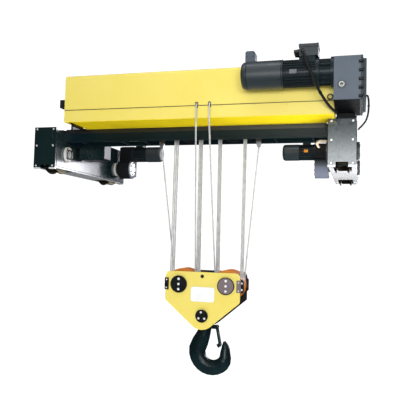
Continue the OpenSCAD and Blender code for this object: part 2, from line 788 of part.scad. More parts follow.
// Mesh angles: a tooth of each pinion points at the middle of a gap of the wheel that it drives.
to_drum = atan2(drum_z - mid_z, drum_y - mid_y);
to_mid = mid_angle;
drum_gear_turn = to_drum + 180 + 180 / wheel2_n;
mid_wheel_turn = to_mid + 180 + 180 / wheel_n;

module intermediate_gear() {
    color(steel) translate([0, mid_y, mid_z]) union() {
        translate([stage1_x, 0, 0]) spur_gear(wheel_n, first_module, 44, mid_wheel_turn);
        translate([stage2_x - 4, 0, 0]) spur_gear(pinion2_n, second_module, 68, to_drum);
        translate([gear_x0 + 5, 0, 0]) rotate([0, 90, 0])
            cylinder(h = gear_x1 + 16 - gear_x0 - 5, r = 25, $fn = fine);
    }
}

module motor_rotor() {
    color(steel) translate([0, motor_y, motor_z]) union() {
        translate([stage1_x - 4, 0, 0]) spur_gear(pinion_n, first_module, 52, to_mid);
        translate([motor_x0 + 60, 0, 0]) rotate([0, 90, 0])
            cylinder(h = gear_x1 + 16 - motor_x0 - 60, r = motor_axis_r * 0.999, $fn = fine);
        translate([fan_x1 + 40, 0, 0]) rotate([0, 90, 0])
            cylinder(h = stator_x1 - fan_x1 - 80, r = 64, $fn = fine);
        translate([motor_x0 + 80, 0, 0]) rotate([90, 0, 90]) linear_extrude(30) union() {
            circle(r = 44, $fn = fine);
            for (i = [0 : 7]) rotate(i * 45) translate([40, -4]) square([52, 8]);
        }
    }
}

// ---- Sheaves ----
module sheave_at(x, y, z) {
    bore = pin_r + run_fit;
    h = sheave_w / 2;
    groove = rope_d / 2 + 0.4;
    color(sheave_orange) translate([x, y, z]) rotate([90, 0, 0]) rotate_extrude($fn = 96) difference() {
        polygon([[bore, -h], [bore + 22, -h], [bore + 26, -9], [rim_r - 36, -9], [rim_r - 30, -h],
            [rim_r, -h], [rim_r, h], [rim_r - 30, h], [rim_r - 36, 9], [bore + 26, 9],
            [bore + 22, h], [bore, h]]);
        translate([sheave_r, 0]) circle(r = groove, $fn = 40);
        polygon([[sheave_r, -groove], [rim_r + 1, -groove - 5], [rim_r + 1, groove + 5], [sheave_r, groove]]);
    }
}

module upper_sheave(side, k) {
    sheave_at(pin_x(side), upper_sheave_y(k), upper_z);
}

module block_sheave(side, k) {
    sheave_at(pin_x(side), block_sheave_y(k), block_pin_z);
}

// ---- Hook block ----
module block_outline() {
    corner = 46;
    w = block_w / 2;
    hull() {
        for (sx = [-1, 1]) {
            translate([sx * (w - corner), block_top_z - corner]) circle(r = corner, $fn = 32);
            translate([sx * (w - 20), block_side_z + 16]) circle(r = 20, $fn = 24);
        }
        translate([0, block_nose_z]) circle(r = block_nose_r, $fn = 48);
    }
}

module block_side_plates() {
    color(yellow) for (y = [block_front_y, block_rear_y - plate_t2])
        translate([block_x, y, 0]) rotate([90, 0, 0]) mirror([0, 0, 1]) difference() {
            linear_extrude(plate_t2) block_outline();
            for (side = [-1, 1]) translate([side * pin_half, block_pin_z, -1])
                cylinder(h = plate_t2 + 2, r = pin_r + run_fit, $fn = fine);
            translate([shank_x - block_x, trunnion_z, -1])
                cylinder(h = plate_t2 + 2, r = trunnion_r + run_fit, $fn = fine);
            translate([0, block_pin_z + 78, -1]) cylinder(h = plate_t2 + 2, r = 17, $fn = fine);
        }
}

module block_spacers() {
    inner = block_depth - 2 * plate_t2 - 2 * gap;
    y0 = block_front_y + plate_t2 + gap;
    places = [[0, block_pin_z - 66], [-172, block_pin_z - 208], [172, block_pin_z - 208]];
    color(dark_teal) for (p = places) along_y(block_x + p[0], y0, p[1], 22, inner);
}

module block_pins() {
    color(steel) for (side = [-1, 1])
        along_y(pin_x(side), block_front_y + 1, block_pin_z, pin_r, block_depth - 2);
}

module pin_covers() {
    color(black) for (face = [-1, 1]) {
        y = face < 0 ? block_front_y - 10 - gap : block_rear_y + gap;
        for (side = [-1, 1]) along_y(pin_x(side) + side * 6, y, block_pin_z, 78, 10);
        along_y(shank_x, y, trunnion_z, 58, 10);
    }
}

module cover_screws() {
    color(steel) for (face = [-1, 1]) {
        y = face < 0 ? block_front_y - 10 - 2 * gap : block_rear_y + 10 + 2 * gap;
        turn = face < 0 ? 0 : 180;
        for (side = [-1, 1], dz = [-46, 0, 46])
            translate([pin_x(side) + side * 6, y, block_pin_z + dz]) rotate([0, 0, turn]) bolt_head(9);
        for (a = [100, 218, 322])
            translate([shank_x + 34 * cos(a), y, trunnion_z + 34 * sin(a)]) rotate([0, 0, turn]) bolt_head(8);
        for (side = [-1, 1], dz = [-30, 28])
            translate([block_x + side * (block_w / 2 + 9), block_y + face * (block_depth / 2 - clip_set + 21),
                block_pin_z + dz]) rotate([0, 0, turn]) bolt_head(7);
    }
}

module guard_clips() {
    h = 124;
    color(black) for (side = [-1, 1], face = [-1, 1]) {
        x = block_x + side * (block_w / 2 + gap);
        y = block_y + face * (block_depth / 2 - clip_set);
        translate([side > 0 ? x : x - 22, y - 17, block_pin_z - h / 2]) difference() {
            cube([22, 34, h]);
            for (z = [0, h])
                translate([side > 0 ? 22 : 0, 20, z]) rotate([0, 45, 0]) cube([18, 60, 18], center = true);
        }
        translate([side > 0 ? x - 40 : x, y - face * 8 - 6, block_pin_z - 30]) cube([40 + gap, 12, 60]);
    }
}

module capacity_plate() {
    color([0.97, 0.97, 0.96]) translate([block_x + 6, block_front_y - gap, block_pin_z - 84])
        rotate([90, 0, 0]) linear_extrude(3) rounded_rect(218, 132, 20);
}

// ---- Crosshead, hook and latch ----
module crosshead() {
    width = block_depth - 2 * plate_t2 - 2;
    color(dark_teal) difference() {
        union() {
            box_at([shank_x - 92, block_y - width / 2, trunnion_z - 50],
                [shank_x + 92, block_y + width / 2, trunnion_z + 50]);
            along_y(shank_x, block_front_y + 1, trunnion_z, trunnion_r, block_depth - 2);
        }
        translate([shank_x, block_y, trunnion_z - 51]) cylinder(h = 102, r = shank_r + run_fit, $fn = fine);
    }
}

// The hook's centre line, seen from the front, as [x, z, half width] about the throat's centre
function hook_station(a, width) = let (mid_r = throat_r + width / 2)
    [throat_dx + mid_r * cos(a), throat_z + mid_r * sin(a), width / 2];
hook_stations = [
    [0, trunnion_z - 74, shank_r],
    [-8, trunnion_z - 132, shank_r + 4],
    [-26, trunnion_z - 190, 66],
    [-54, trunnion_z - 256, 78],
    for (a = [172 : 14 : 312]) hook_station(a, 160 - (a - 172) * 0.2),
    hook_station(326, 124),
    hook_station(342, 108),
    [throat_dx + throat_r + 46, throat_z + 2, 47],
    [throat_dx + throat_r + 48, throat_z + 40, 40],
    [throat_dx + throat_r + 44, throat_z + 76, 29],
    [throat_dx + throat_r + 38, throat_z + 104, 13]];

// A forged section: wide towards the throat and narrower outside, as a ring of points
function hook_ring(i) = let (s = hook_stations[i], a = hook_stations[max(i - 1, 0)],
        b = hook_stations[min(i + 1, len(hook_stations) - 1)],
        t = [b[0] - a[0], 0, b[1] - a[1]] / norm([b[0] - a[0], b[1] - a[1]]),
        u = [-t[2], 0, t[0]], deep = min(s[2], 60) * 0.92 + s[2] * 0.06, n = 28)
    [for (k = [0 : n - 1]) let (q = 360 * k / n, c = cos(q), d = sin(q))
        [shank_x + s[0], block_y, s[1]] + s[2] * c * u + [0, 1, 0] * deep * d * (1 + 0.10 * c)];

module hook_body() {
    n = 28;
    count = len(hook_stations);
    points = [for (i = [0 : count - 1]) each hook_ring(i)];
    sides = [for (i = [0 : count - 2], k = [0 : n - 1])
        [i * n + k, i * n + (k + 1) % n, (i + 1) * n + (k + 1) % n, (i + 1) * n + k]];
    polyhedron(points = points, convexity = 6,
        faces = concat([[for (k = [0 : n - 1]) n - 1 - k]], sides,
            [[for (k = [0 : n - 1]) (count - 1) * n + k]]));
}

latch_x = shank_x + 102;
latch_z = trunnion_z - 112;
latch_len = 176;
latch_lean = 11.5;

module hook() {
    color(dark_teal) union() {
        hook_body();
        translate([shank_x, block_y, trunnion_z - 76]) cylinder(h = 76 + 128, r = shank_r, $fn = fine);
        box_at([latch_x - 76, block_y - 11, latch_z - 22], [latch_x, block_y + 11, latch_z + 14]);
        along_y(latch_x, block_y - 11, latch_z, 14, 22);
        along_y(latch_x, block_y - 30, latch_z, 7, 60);
    }
}

module hook_nut() {
    color(steel) difference() {
        union() {
            translate([shank_x, block_y, trunnion_z + 50 + gap]) cylinder(h = 22, r = 84, $fn = fine);
            translate([shank_x, block_y, trunnion_z + 71]) cylinder(h = 50, r = 78, $fn = 8);
        }
        translate([shank_x, block_y, trunnion_z]) cylinder(h = 140, r = shank_r + run_fit, $fn = fine);
    }
}

module hook_latch() {
    color(dark_teal) translate([latch_x, block_y, latch_z]) rotate([0, -latch_lean, 0]) difference() {
        union() {
            for (side = [-1, 1]) {
                box_at([-9, side > 0 ? 14 : -24, -latch_len + 20], [9, side > 0 ? 24 : -14, 0]);
                along_y(0, side > 0 ? 14 : -24, 0, 16, 10);
            }
            box_at([-9, -24, -latch_len], [9, 24, -60]);
            translate([-14, 0, -latch_len + 6]) rotate([0, -20, 0]) cube([22, 48, 34], center = true);
        }
        along_y(0, -31, 0, 7 + run_fit, 62);
    }
}

end_carriage_left();
end_carriage_right();
carriage_end_plates();
bearing_housings();
sheave_frame();
upper_sheave_pins();
wedge_sockets();
rope_falls();
drum_cover_upper();
drum_cover_lower();
gearbox_housing();
gearbox_cover();
oil_sight_glass();
lifting_eye();
motor_stator();
motor_fan_cover();
motor_flange();
terminal_box();
cable_glands();
brake_box();
power_cables();
travel_gear_cases();
travel_motor_housings();
travel_fan_covers();
junction_box();
limit_switch();
hex_bolts();
hoist_drum();
drum_gear();
intermediate_gear();
motor_rotor();
wheel_front_left();
wheel_front_right();
wheel_rear_left();
wheel_rear_right();
upper_sheave(-1, 1);  // upper_sheave_left_1
upper_sheave(-1, 2);  // upper_sheave_left_2
upper_sheave(-1, 3);  // upper_sheave_left_3
upper_sheave(1, 1);  // upper_sheave_right_1
upper_sheave(1, 2);  // upper_sheave_right_2
upper_sheave(1, 3);  // upper_sheave_right_3
block_sheave(-1, 1);  // block_sheave_left_1
block_sheave(-1, 2);  // block_sheave_left_2
block_sheave(-1, 3);  // block_sheave_left_3
block_sheave(-1, 4);  // block_sheave_left_4
block_sheave(1, 1);  // block_sheave_right_1
block_sheave(1, 2);  // block_sheave_right_2
block_sheave(1, 3);  // block_sheave_right_3
block_sheave(1, 4);  // block_sheave_right_4
block_side_plates();
block_spacers();
block_pins();
pin_covers();
guard_clips();
capacity_plate();
cover_screws();
crosshead();
hook();
hook_nut();
hook_latch();
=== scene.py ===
"""Electric wire rope hoist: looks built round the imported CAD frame. Metres, +Z up, -Y is the front."""

import json
from math import cos, pi, radians, sin

import bmesh
import bpy
import numpy as np
from mathutils import Matrix, Vector


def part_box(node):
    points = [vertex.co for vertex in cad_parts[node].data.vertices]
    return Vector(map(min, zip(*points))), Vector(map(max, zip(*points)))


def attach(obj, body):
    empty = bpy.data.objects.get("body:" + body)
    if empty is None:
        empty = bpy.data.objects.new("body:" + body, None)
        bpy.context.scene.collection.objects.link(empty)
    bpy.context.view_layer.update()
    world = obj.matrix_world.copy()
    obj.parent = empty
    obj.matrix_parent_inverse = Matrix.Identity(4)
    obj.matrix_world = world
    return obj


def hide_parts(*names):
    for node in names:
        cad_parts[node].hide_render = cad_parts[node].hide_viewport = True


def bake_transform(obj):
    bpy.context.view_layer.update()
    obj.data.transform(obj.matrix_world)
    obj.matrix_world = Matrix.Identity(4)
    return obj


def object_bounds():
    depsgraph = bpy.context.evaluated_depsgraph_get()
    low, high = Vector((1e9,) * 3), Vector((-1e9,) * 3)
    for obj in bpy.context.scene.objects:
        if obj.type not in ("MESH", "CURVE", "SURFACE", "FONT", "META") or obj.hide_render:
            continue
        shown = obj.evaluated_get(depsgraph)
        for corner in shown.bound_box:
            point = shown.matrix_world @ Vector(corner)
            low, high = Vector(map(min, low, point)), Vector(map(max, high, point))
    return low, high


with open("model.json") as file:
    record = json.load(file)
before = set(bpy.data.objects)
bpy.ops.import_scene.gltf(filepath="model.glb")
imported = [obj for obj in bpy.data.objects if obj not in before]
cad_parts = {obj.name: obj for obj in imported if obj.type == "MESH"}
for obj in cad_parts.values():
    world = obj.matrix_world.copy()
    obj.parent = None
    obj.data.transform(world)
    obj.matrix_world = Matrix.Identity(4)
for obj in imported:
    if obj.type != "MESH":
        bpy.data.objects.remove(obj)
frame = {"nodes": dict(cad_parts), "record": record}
cad_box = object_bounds()
nodes = frame["nodes"]


# ---- sizes, in metres
def middle(node):
    """The middle of a CAD node's box."""
    low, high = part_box(node)
    return (Vector(low) + Vector(high)) / 2


def v(*p):
    return Vector(p)


# Sheaves, their pins and the rope
ROPE_D = 0.015
SHEAVE_R = 0.12
BLOCK_X = middle("block_pins").x
MID_Y = middle("block_pins").y
PIN_HALF = middle("block_sheave_right_1").x - BLOCK_X
PIN_Z = middle("block_sheave_right_1").z
UPPER_Z = middle("upper_sheave_right_1").z
PITCH = middle("block_sheave_right_2").y - middle("block_sheave_right_1").y
# Dead ends of the rope, and the slots where the two drum falls enter the cover
ANCHOR_MID, ANCHOR_HALF = 0.15, 0.48
ANCHOR_Z = 0.2435
EXIT_MID, EXIT_HALF = 0.236, 0.058
SLOT_HALF = 0.014
# Carriages, wheels and travel drives
RAIL_X = middle("wheel_front_right").x
WHEEL_Y = middle("wheel_rear_right").y
AXLE_Z = middle("wheel_rear_right").z
CARRIAGE_HALF = 0.117
INNER_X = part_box("sheave_frame")[1].x
CASE_GAP, CASE_WIDTH = 0.064, 0.144
TRAVEL_Y, TRAVEL_Z, TRAVEL_R = middle("travel_fan_covers").y, middle("travel_fan_covers").z, 0.088
TRAVEL_MOTOR, TRAVEL_FAN = 0.178, 0.18
# Sheave frame over its long plates, the cover's underside, the latch's pivot
FRAME_HALF = 0.136
COVER_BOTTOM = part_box("drum_cover_lower")[0].z
PIVOT_X, PIVOT_Z = 0.288, -1.431

X_AXIS, Y_AXIS, Z_AXIS = (1, 0, 0), (0, 1, 0), (0, 0, 1)
FRONT, LEFT = (0, -1, 0), (-1, 0, 0)


class Tree:
    """A material's node tree with short calls for the nodes used here."""

    def __init__(self, name):
        self.material = bpy.data.materials.new(name)
        self.material.use_nodes = True
        self.tree = self.material.node_tree
        self.tree.nodes.clear()
        self.out = self.node("ShaderNodeOutputMaterial")
        self.bsdf = self.node("ShaderNodeBsdfPrincipled")
        self.link(self.bsdf.outputs["BSDF"], self.out.inputs["Surface"])
        self.place = self.node("ShaderNodeTexCoord").outputs["Object"]

    def node(self, kind, **values):
        made = self.tree.nodes.new(kind)
        for key, value in values.items():
            setattr(made, key, value)
        return made

    def link(self, a, b):
        self.tree.links.new(a, b)

    def put(self, socket, value):
        """A link, a colour as (red, green, blue), or a number."""
        if isinstance(value, bpy.types.NodeSocket):
            self.link(value, socket)
        elif isinstance(value, tuple):
            socket.default_value = (*value, 1.0)
        else:
            socket.default_value = value

    def mapped(self, scale):
        made = self.node("ShaderNodeMapping")
        self.link(self.place, made.inputs["Vector"])
        made.inputs["Scale"].default_value = scale
        return made.outputs["Vector"]

    def noise(self, scale, detail=3.0, rough=0.55, stretch=None):
        made = self.node("ShaderNodeTexNoise")
        self.link(self.mapped(stretch) if stretch else self.place, made.inputs["Vector"])
        made.inputs["Scale"].default_value = scale
        made.inputs["Detail"].default_value = detail
        made.inputs["Roughness"].default_value = rough
        return made.outputs["Fac"]

    def remap(self, value, a, b, c=0.0, d=1.0):
        made = self.node("ShaderNodeMapRange")
        self.put(made.inputs["Value"], value)
        for key, x in zip(("From Min", "From Max", "To Min", "To Max"), (a, b, c, d)):
            made.inputs[key].default_value = x
        return made.outputs["Result"]

    def math(self, operation, a, b=0.5):
        made = self.node("ShaderNodeMath", operation=operation)
        self.put(made.inputs[0], a)
        self.put(made.inputs[1], b)
        return made.outputs[0]

    def mix(self, factor, a, b, blend="MIX"):
        made = self.node("ShaderNodeMix", data_type="RGBA", blend_type=blend)
        self.put(made.inputs["Factor"], factor)
        self.put(made.inputs["A"], a)
        self.put(made.inputs["B"], b)
        return made.outputs["Result"]

    def edge(self, radius, keep):
        """A mask that is 1 on edges, and the rounded normal that it comes from."""
        bevel = self.node("ShaderNodeBevel", samples=6)
        bevel.inputs["Radius"].default_value = radius
        plain = self.node("ShaderNodeNewGeometry").outputs["Normal"]
        dot = self.node("ShaderNodeVectorMath", operation="DOT_PRODUCT")
        self.link(bevel.outputs["Normal"], dot.inputs[0])
        self.link(plain, dot.inputs[1])
        return self.remap(dot.outputs["Value"], 0.985, keep), bevel.outputs["Normal"]

    def axis(self, name):
        """The X, Y or Z of the place, or "far_Y" for the size of its Y."""
        made = self.node("ShaderNodeSeparateXYZ")
        self.link(self.place, made.inputs[0])
        if name == "far_Y":
            return self.math("ABSOLUTE", made.outputs["Y"], 0.0)
        return made.outputs[name]

    def zone(self, limits):
        """1 where every (axis, from, to) limit is reached."""
        masks = [self.remap(self.axis(axis), first, last) for axis, first, last in limits]
        both = masks[0]
        for mask in masks[1:]:
            both = self.math("MULTIPLY", both, mask)
        return both

    def near_axle(self, radius):
        """1 within radius of the wheel axles, which run along X."""
        y = self.math("SUBTRACT", self.math("ABSOLUTE", self.axis("Y"), 0.0), WHEEL_Y)
        z = self.math("SUBTRACT", self.axis("Z"), AXLE_Z)
        far = self.math("SQRT", self.math("ADD", self.math("POWER", self.math("ABSOLUTE", y, 0.0), 2.0),
                                          self.math("POWER", self.math("ABSOLUTE", z, 0.0), 2.0)), 0.0)
        return self.remap(far, radius, radius - 0.001)

    def bump(self, height, strength, distance, normal=None):
        made = self.node("ShaderNodeBump")
        made.inputs["Strength"].default_value = strength
        made.inputs["Distance"].default_value = distance
        self.put(made.inputs["Height"], height)
        if normal is not None:
            self.link(normal, made.inputs["Normal"])
        return made.outputs["Normal"]

    def set(self, **values):
        for key, value in values.items():
            self.put(self.bsdf.inputs[key.replace("_", " ")], value)
        return self.material


# ---- materials
def paint(name, base, shade, worn, rough=0.35, coat=0.2, edge=0.0018, wear=0.5, corner_shade=0.25,
          orange_peel=0.03, metal=0.0, level=0.5, other=None, split=None, matt=None):
    """Sprayed machine paint: cloudy colour, faint streaks, painted shade in the corners, bare or light edges.
    """
    t = Tree(name)
    clouds = t.remap(t.noise(2.4, 5.0, 0.6), 0.32, 0.7)
    fine = t.noise(38.0, 4.0, 0.6)
    streaks = t.remap(t.noise(5.0, 4.0, 0.6, stretch=(6.0, 6.0, 0.5)), 0.5, 0.78)
    colour = t.mix(clouds, base, shade)
    colour = t.mix(t.math("MULTIPLY", streaks, 0.3), colour, shade)
    if other:
        colour = t.mix(t.zone(split), colour, t.mix(clouds, other, tuple(c * 0.8 for c in other)))
    # painted shade: the colour darkens where ambient occlusion finds corners and recesses
    hollow = t.node("ShaderNodeAmbientOcclusion", samples=6)
    hollow.inputs["Distance"].default_value = 0.05
    corner_shade_mask = t.math("MULTIPLY", t.remap(hollow.outputs["AO"], 0.85, 0.35), corner_shade)
    colour = t.mix(corner_shade_mask, colour, (0.03, 0.027, 0.022))
    mask, rounded = t.edge(edge, 0.8)
    chips = t.remap(t.noise(70.0, 5.0, 0.7), 0.52, 0.6)
    worn_mask = t.math("MULTIPLY", t.math("MULTIPLY", mask, chips), wear)
    colour = t.mix(worn_mask, colour, worn)
    specks = t.remap(t.noise(240.0, 2.0, 0.5), 0.72, 0.8)
    colour = t.mix(t.math("MULTIPLY", specks, 0.06), colour, worn)
    roughness = t.remap(fine, 0.3, 0.7, rough - 0.07, rough + 0.09)
    peel = t.noise(900.0, 2.0, 0.5)
    normal = t.bump(peel, orange_peel, 0.0006, rounded)
    if matt:
        coat = t.remap(t.zone(matt), 0.0, 1.0, coat, 0.0)
        roughness = t.math("MAXIMUM", roughness, t.remap(t.zone(matt), 0.0, 1.0, 0.0, 0.62))
    return t.set(Base_Color=colour, Roughness=roughness, Metallic=metal, Coat_Weight=coat,
                 Coat_Roughness=0.16, Specular_IOR_Level=level, Normal=normal)


def bare_metal(name, base, shade, rough=0.32, brushed=(1.0, 1.0, 1.0), rust=0.0, hub=None):
    """Machined, rolled or forged metal with a directional finish and a few spots of rust."""
    t = Tree(name)
    clouds = t.remap(t.noise(9.0, 5.0, 0.65), 0.3, 0.7)
    colour = t.mix(clouds, base, shade)
    spots = t.math("MULTIPLY", t.remap(t.noise(26.0, 6.0, 0.7), 0.55, 0.75), rust)
    colour = t.mix(spots, colour, (0.16, 0.065, 0.022))
    if hub:
        colour = t.mix(t.near_axle(0.036), colour, hub)
    mask, rounded = t.edge(0.0015, 0.75)
    colour = t.mix(t.math("MULTIPLY", mask, 0.5), colour, (0.75, 0.76, 0.78))
    lines = t.noise(420.0, 2.0, 0.5, stretch=brushed)
    roughness = t.remap(lines, 0.3, 0.7, rough - 0.08, rough + 0.12)
    return t.set(Base_Color=colour, Metallic=t.remap(spots, 0.0, 0.6, 1.0, 0.1), Roughness=roughness,
                 Normal=t.bump(lines, 0.1, 0.0004, rounded))


def forged_paint(name):
    """The hook: dark paint over a forged skin, worn to grey along its ridges."""
    t = Tree(name)
    pits = t.noise(46.0, 6.0, 0.65)
    colour = t.mix(t.remap(t.noise(7.0, 5.0, 0.6), 0.35, 0.65), (0.002, 0.008, 0.01), (0.004, 0.015, 0.018))
    mask, rounded = t.edge(0.012, 0.9)
    scuff = t.math("MULTIPLY", mask, t.remap(t.noise(30.0, 5.0, 0.7), 0.42, 0.62))
    colour = t.mix(t.math("MULTIPLY", scuff, 0.55), colour, (0.16, 0.19, 0.2))
    flecks = t.remap(t.noise(95.0, 3.0, 0.6), 0.66, 0.72)
    colour = t.mix(t.math("MULTIPLY", flecks, 0.35), colour, (0.11, 0.14, 0.15))
    return t.set(Base_Color=colour, Roughness=t.remap(pits, 0.3, 0.7, 0.24, 0.42), Coat_Weight=0.1,
                 Specular_IOR_Level=0.35, Coat_Roughness=0.18, Normal=t.bump(pits, 0.3, 0.0022, rounded))


def rubber(name, base, rough=0.55):
    """Rubber or moulded plastic with a fine grain."""
    t = Tree(name)
    fine = t.noise(260.0, 3.0, 0.6)
    colour = t.mix(t.remap(t.noise(14.0, 4.0), 0.35, 0.65), base, tuple(c * 1.5 for c in base))
    return t.set(Base_Color=colour, Roughness=t.remap(fine, 0.3, 0.7, rough - 0.08, rough + 0.1),
                 Normal=t.bump(fine, 0.15, 0.0004))


def wire(name):
    """Bright drawn wires, darkened between the strands by dark grease and by painted shade."""
    t = Tree(name)
    # grease and painted shade: darker where ambient occlusion finds the strands hiding each other
    hollow = t.node("ShaderNodeAmbientOcclusion", samples=4)
    hollow.inputs["Distance"].default_value = 0.004
    grease_and_shade = t.remap(hollow.outputs["AO"], 0.8, 0.3)
    colour = t.mix(t.remap(t.noise(22.0, 4.0), 0.35, 0.7), (0.8, 0.8, 0.79), (0.6, 0.6, 0.59))
    colour = t.mix(t.math("MULTIPLY", grease_and_shade, 0.55), colour, (0.06, 0.056, 0.05))
    fine = t.noise(1500.0, 2.0)
    return t.set(Base_Color=colour, Metallic=0.35, Roughness=t.remap(fine, 0.3, 0.7, 0.3, 0.5),
                 Normal=t.bump(fine, 0.35, 0.0005))


def glass(name, base, shade):
    """A glossy lens with a thin film over it."""
    t = Tree(name)
    film = t.noise(120.0, 3.0)
    colour = t.mix(t.remap(film, 0.4, 0.65), base, shade)
    return t.set(Base_Color=colour, Roughness=t.remap(film, 0.3, 0.7, 0.05, 0.16), Coat_Weight=1.0,
                 Coat_Roughness=0.03, Normal=t.bump(film, 0.05, 0.0003))


def plate(name, base, shade):
    """A screen-printed plate or sticker with a soft satin film."""
    t = Tree(name)
    fine = t.noise(180.0, 3.0)
    colour = t.mix(t.remap(t.noise(12.0, 4.0), 0.35, 0.7), base, shade)
    mask, rounded = t.edge(0.001, 0.8)
    colour = t.mix(t.math("MULTIPLY", mask, 0.35), colour, shade)
    return t.set(Base_Color=colour, Roughness=t.remap(fine, 0.3, 0.7, 0.3, 0.44), Coat_Weight=0.25,
                 Coat_Roughness=0.12, Normal=t.bump(fine, 0.06, 0.0003, rounded))


# Yellow whose pale, bluish base carries a painted sheen
YELLOW = {"base": (0.85, 0.7, 0.165), "shade": (0.83, 0.67, 0.13), "worn": (0.95, 0.86, 0.42),
          "rough": 0.38, "coat": 0.06, "wear": 0.3, "level": 0.28}
TEAL = {"base": (0.005, 0.017, 0.018), "shade": (0.003, 0.011, 0.012)}
DULL = {"rough": 0.42, "coat": 0.0, "wear": 0.3}
CHIP_BLUE = (0.2, 0.22, 0.25)
CHIP_TEAL = (0.22, 0.25, 0.26)
CHIP_LIGHT = (0.28, 0.3, 0.34)

# Planes where a part's finish changes
BLOCK_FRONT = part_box("block_side_plates")[0].y
CARRIAGE_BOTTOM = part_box("end_carriage_right")[0].z
CARRIAGE_SIDE = RAIL_X + CARRIAGE_HALF
CASE_FACE = INNER_X - CASE_GAP - CASE_WIDTH
END_PLATE_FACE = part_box("carriage_end_plates")[1].y
GEARBOX_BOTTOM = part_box("gearbox_cover")[0].z
COVER_BOLTS_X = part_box("gearbox_cover")[0].x + 0.0036
FRAME_TOP = 0.385


def just(axis, place, reach):
    """A zone's limit: from place - reach, where the mask is 0, to place + reach, where it is 1."""
    return (axis, place - reach, place + reach)


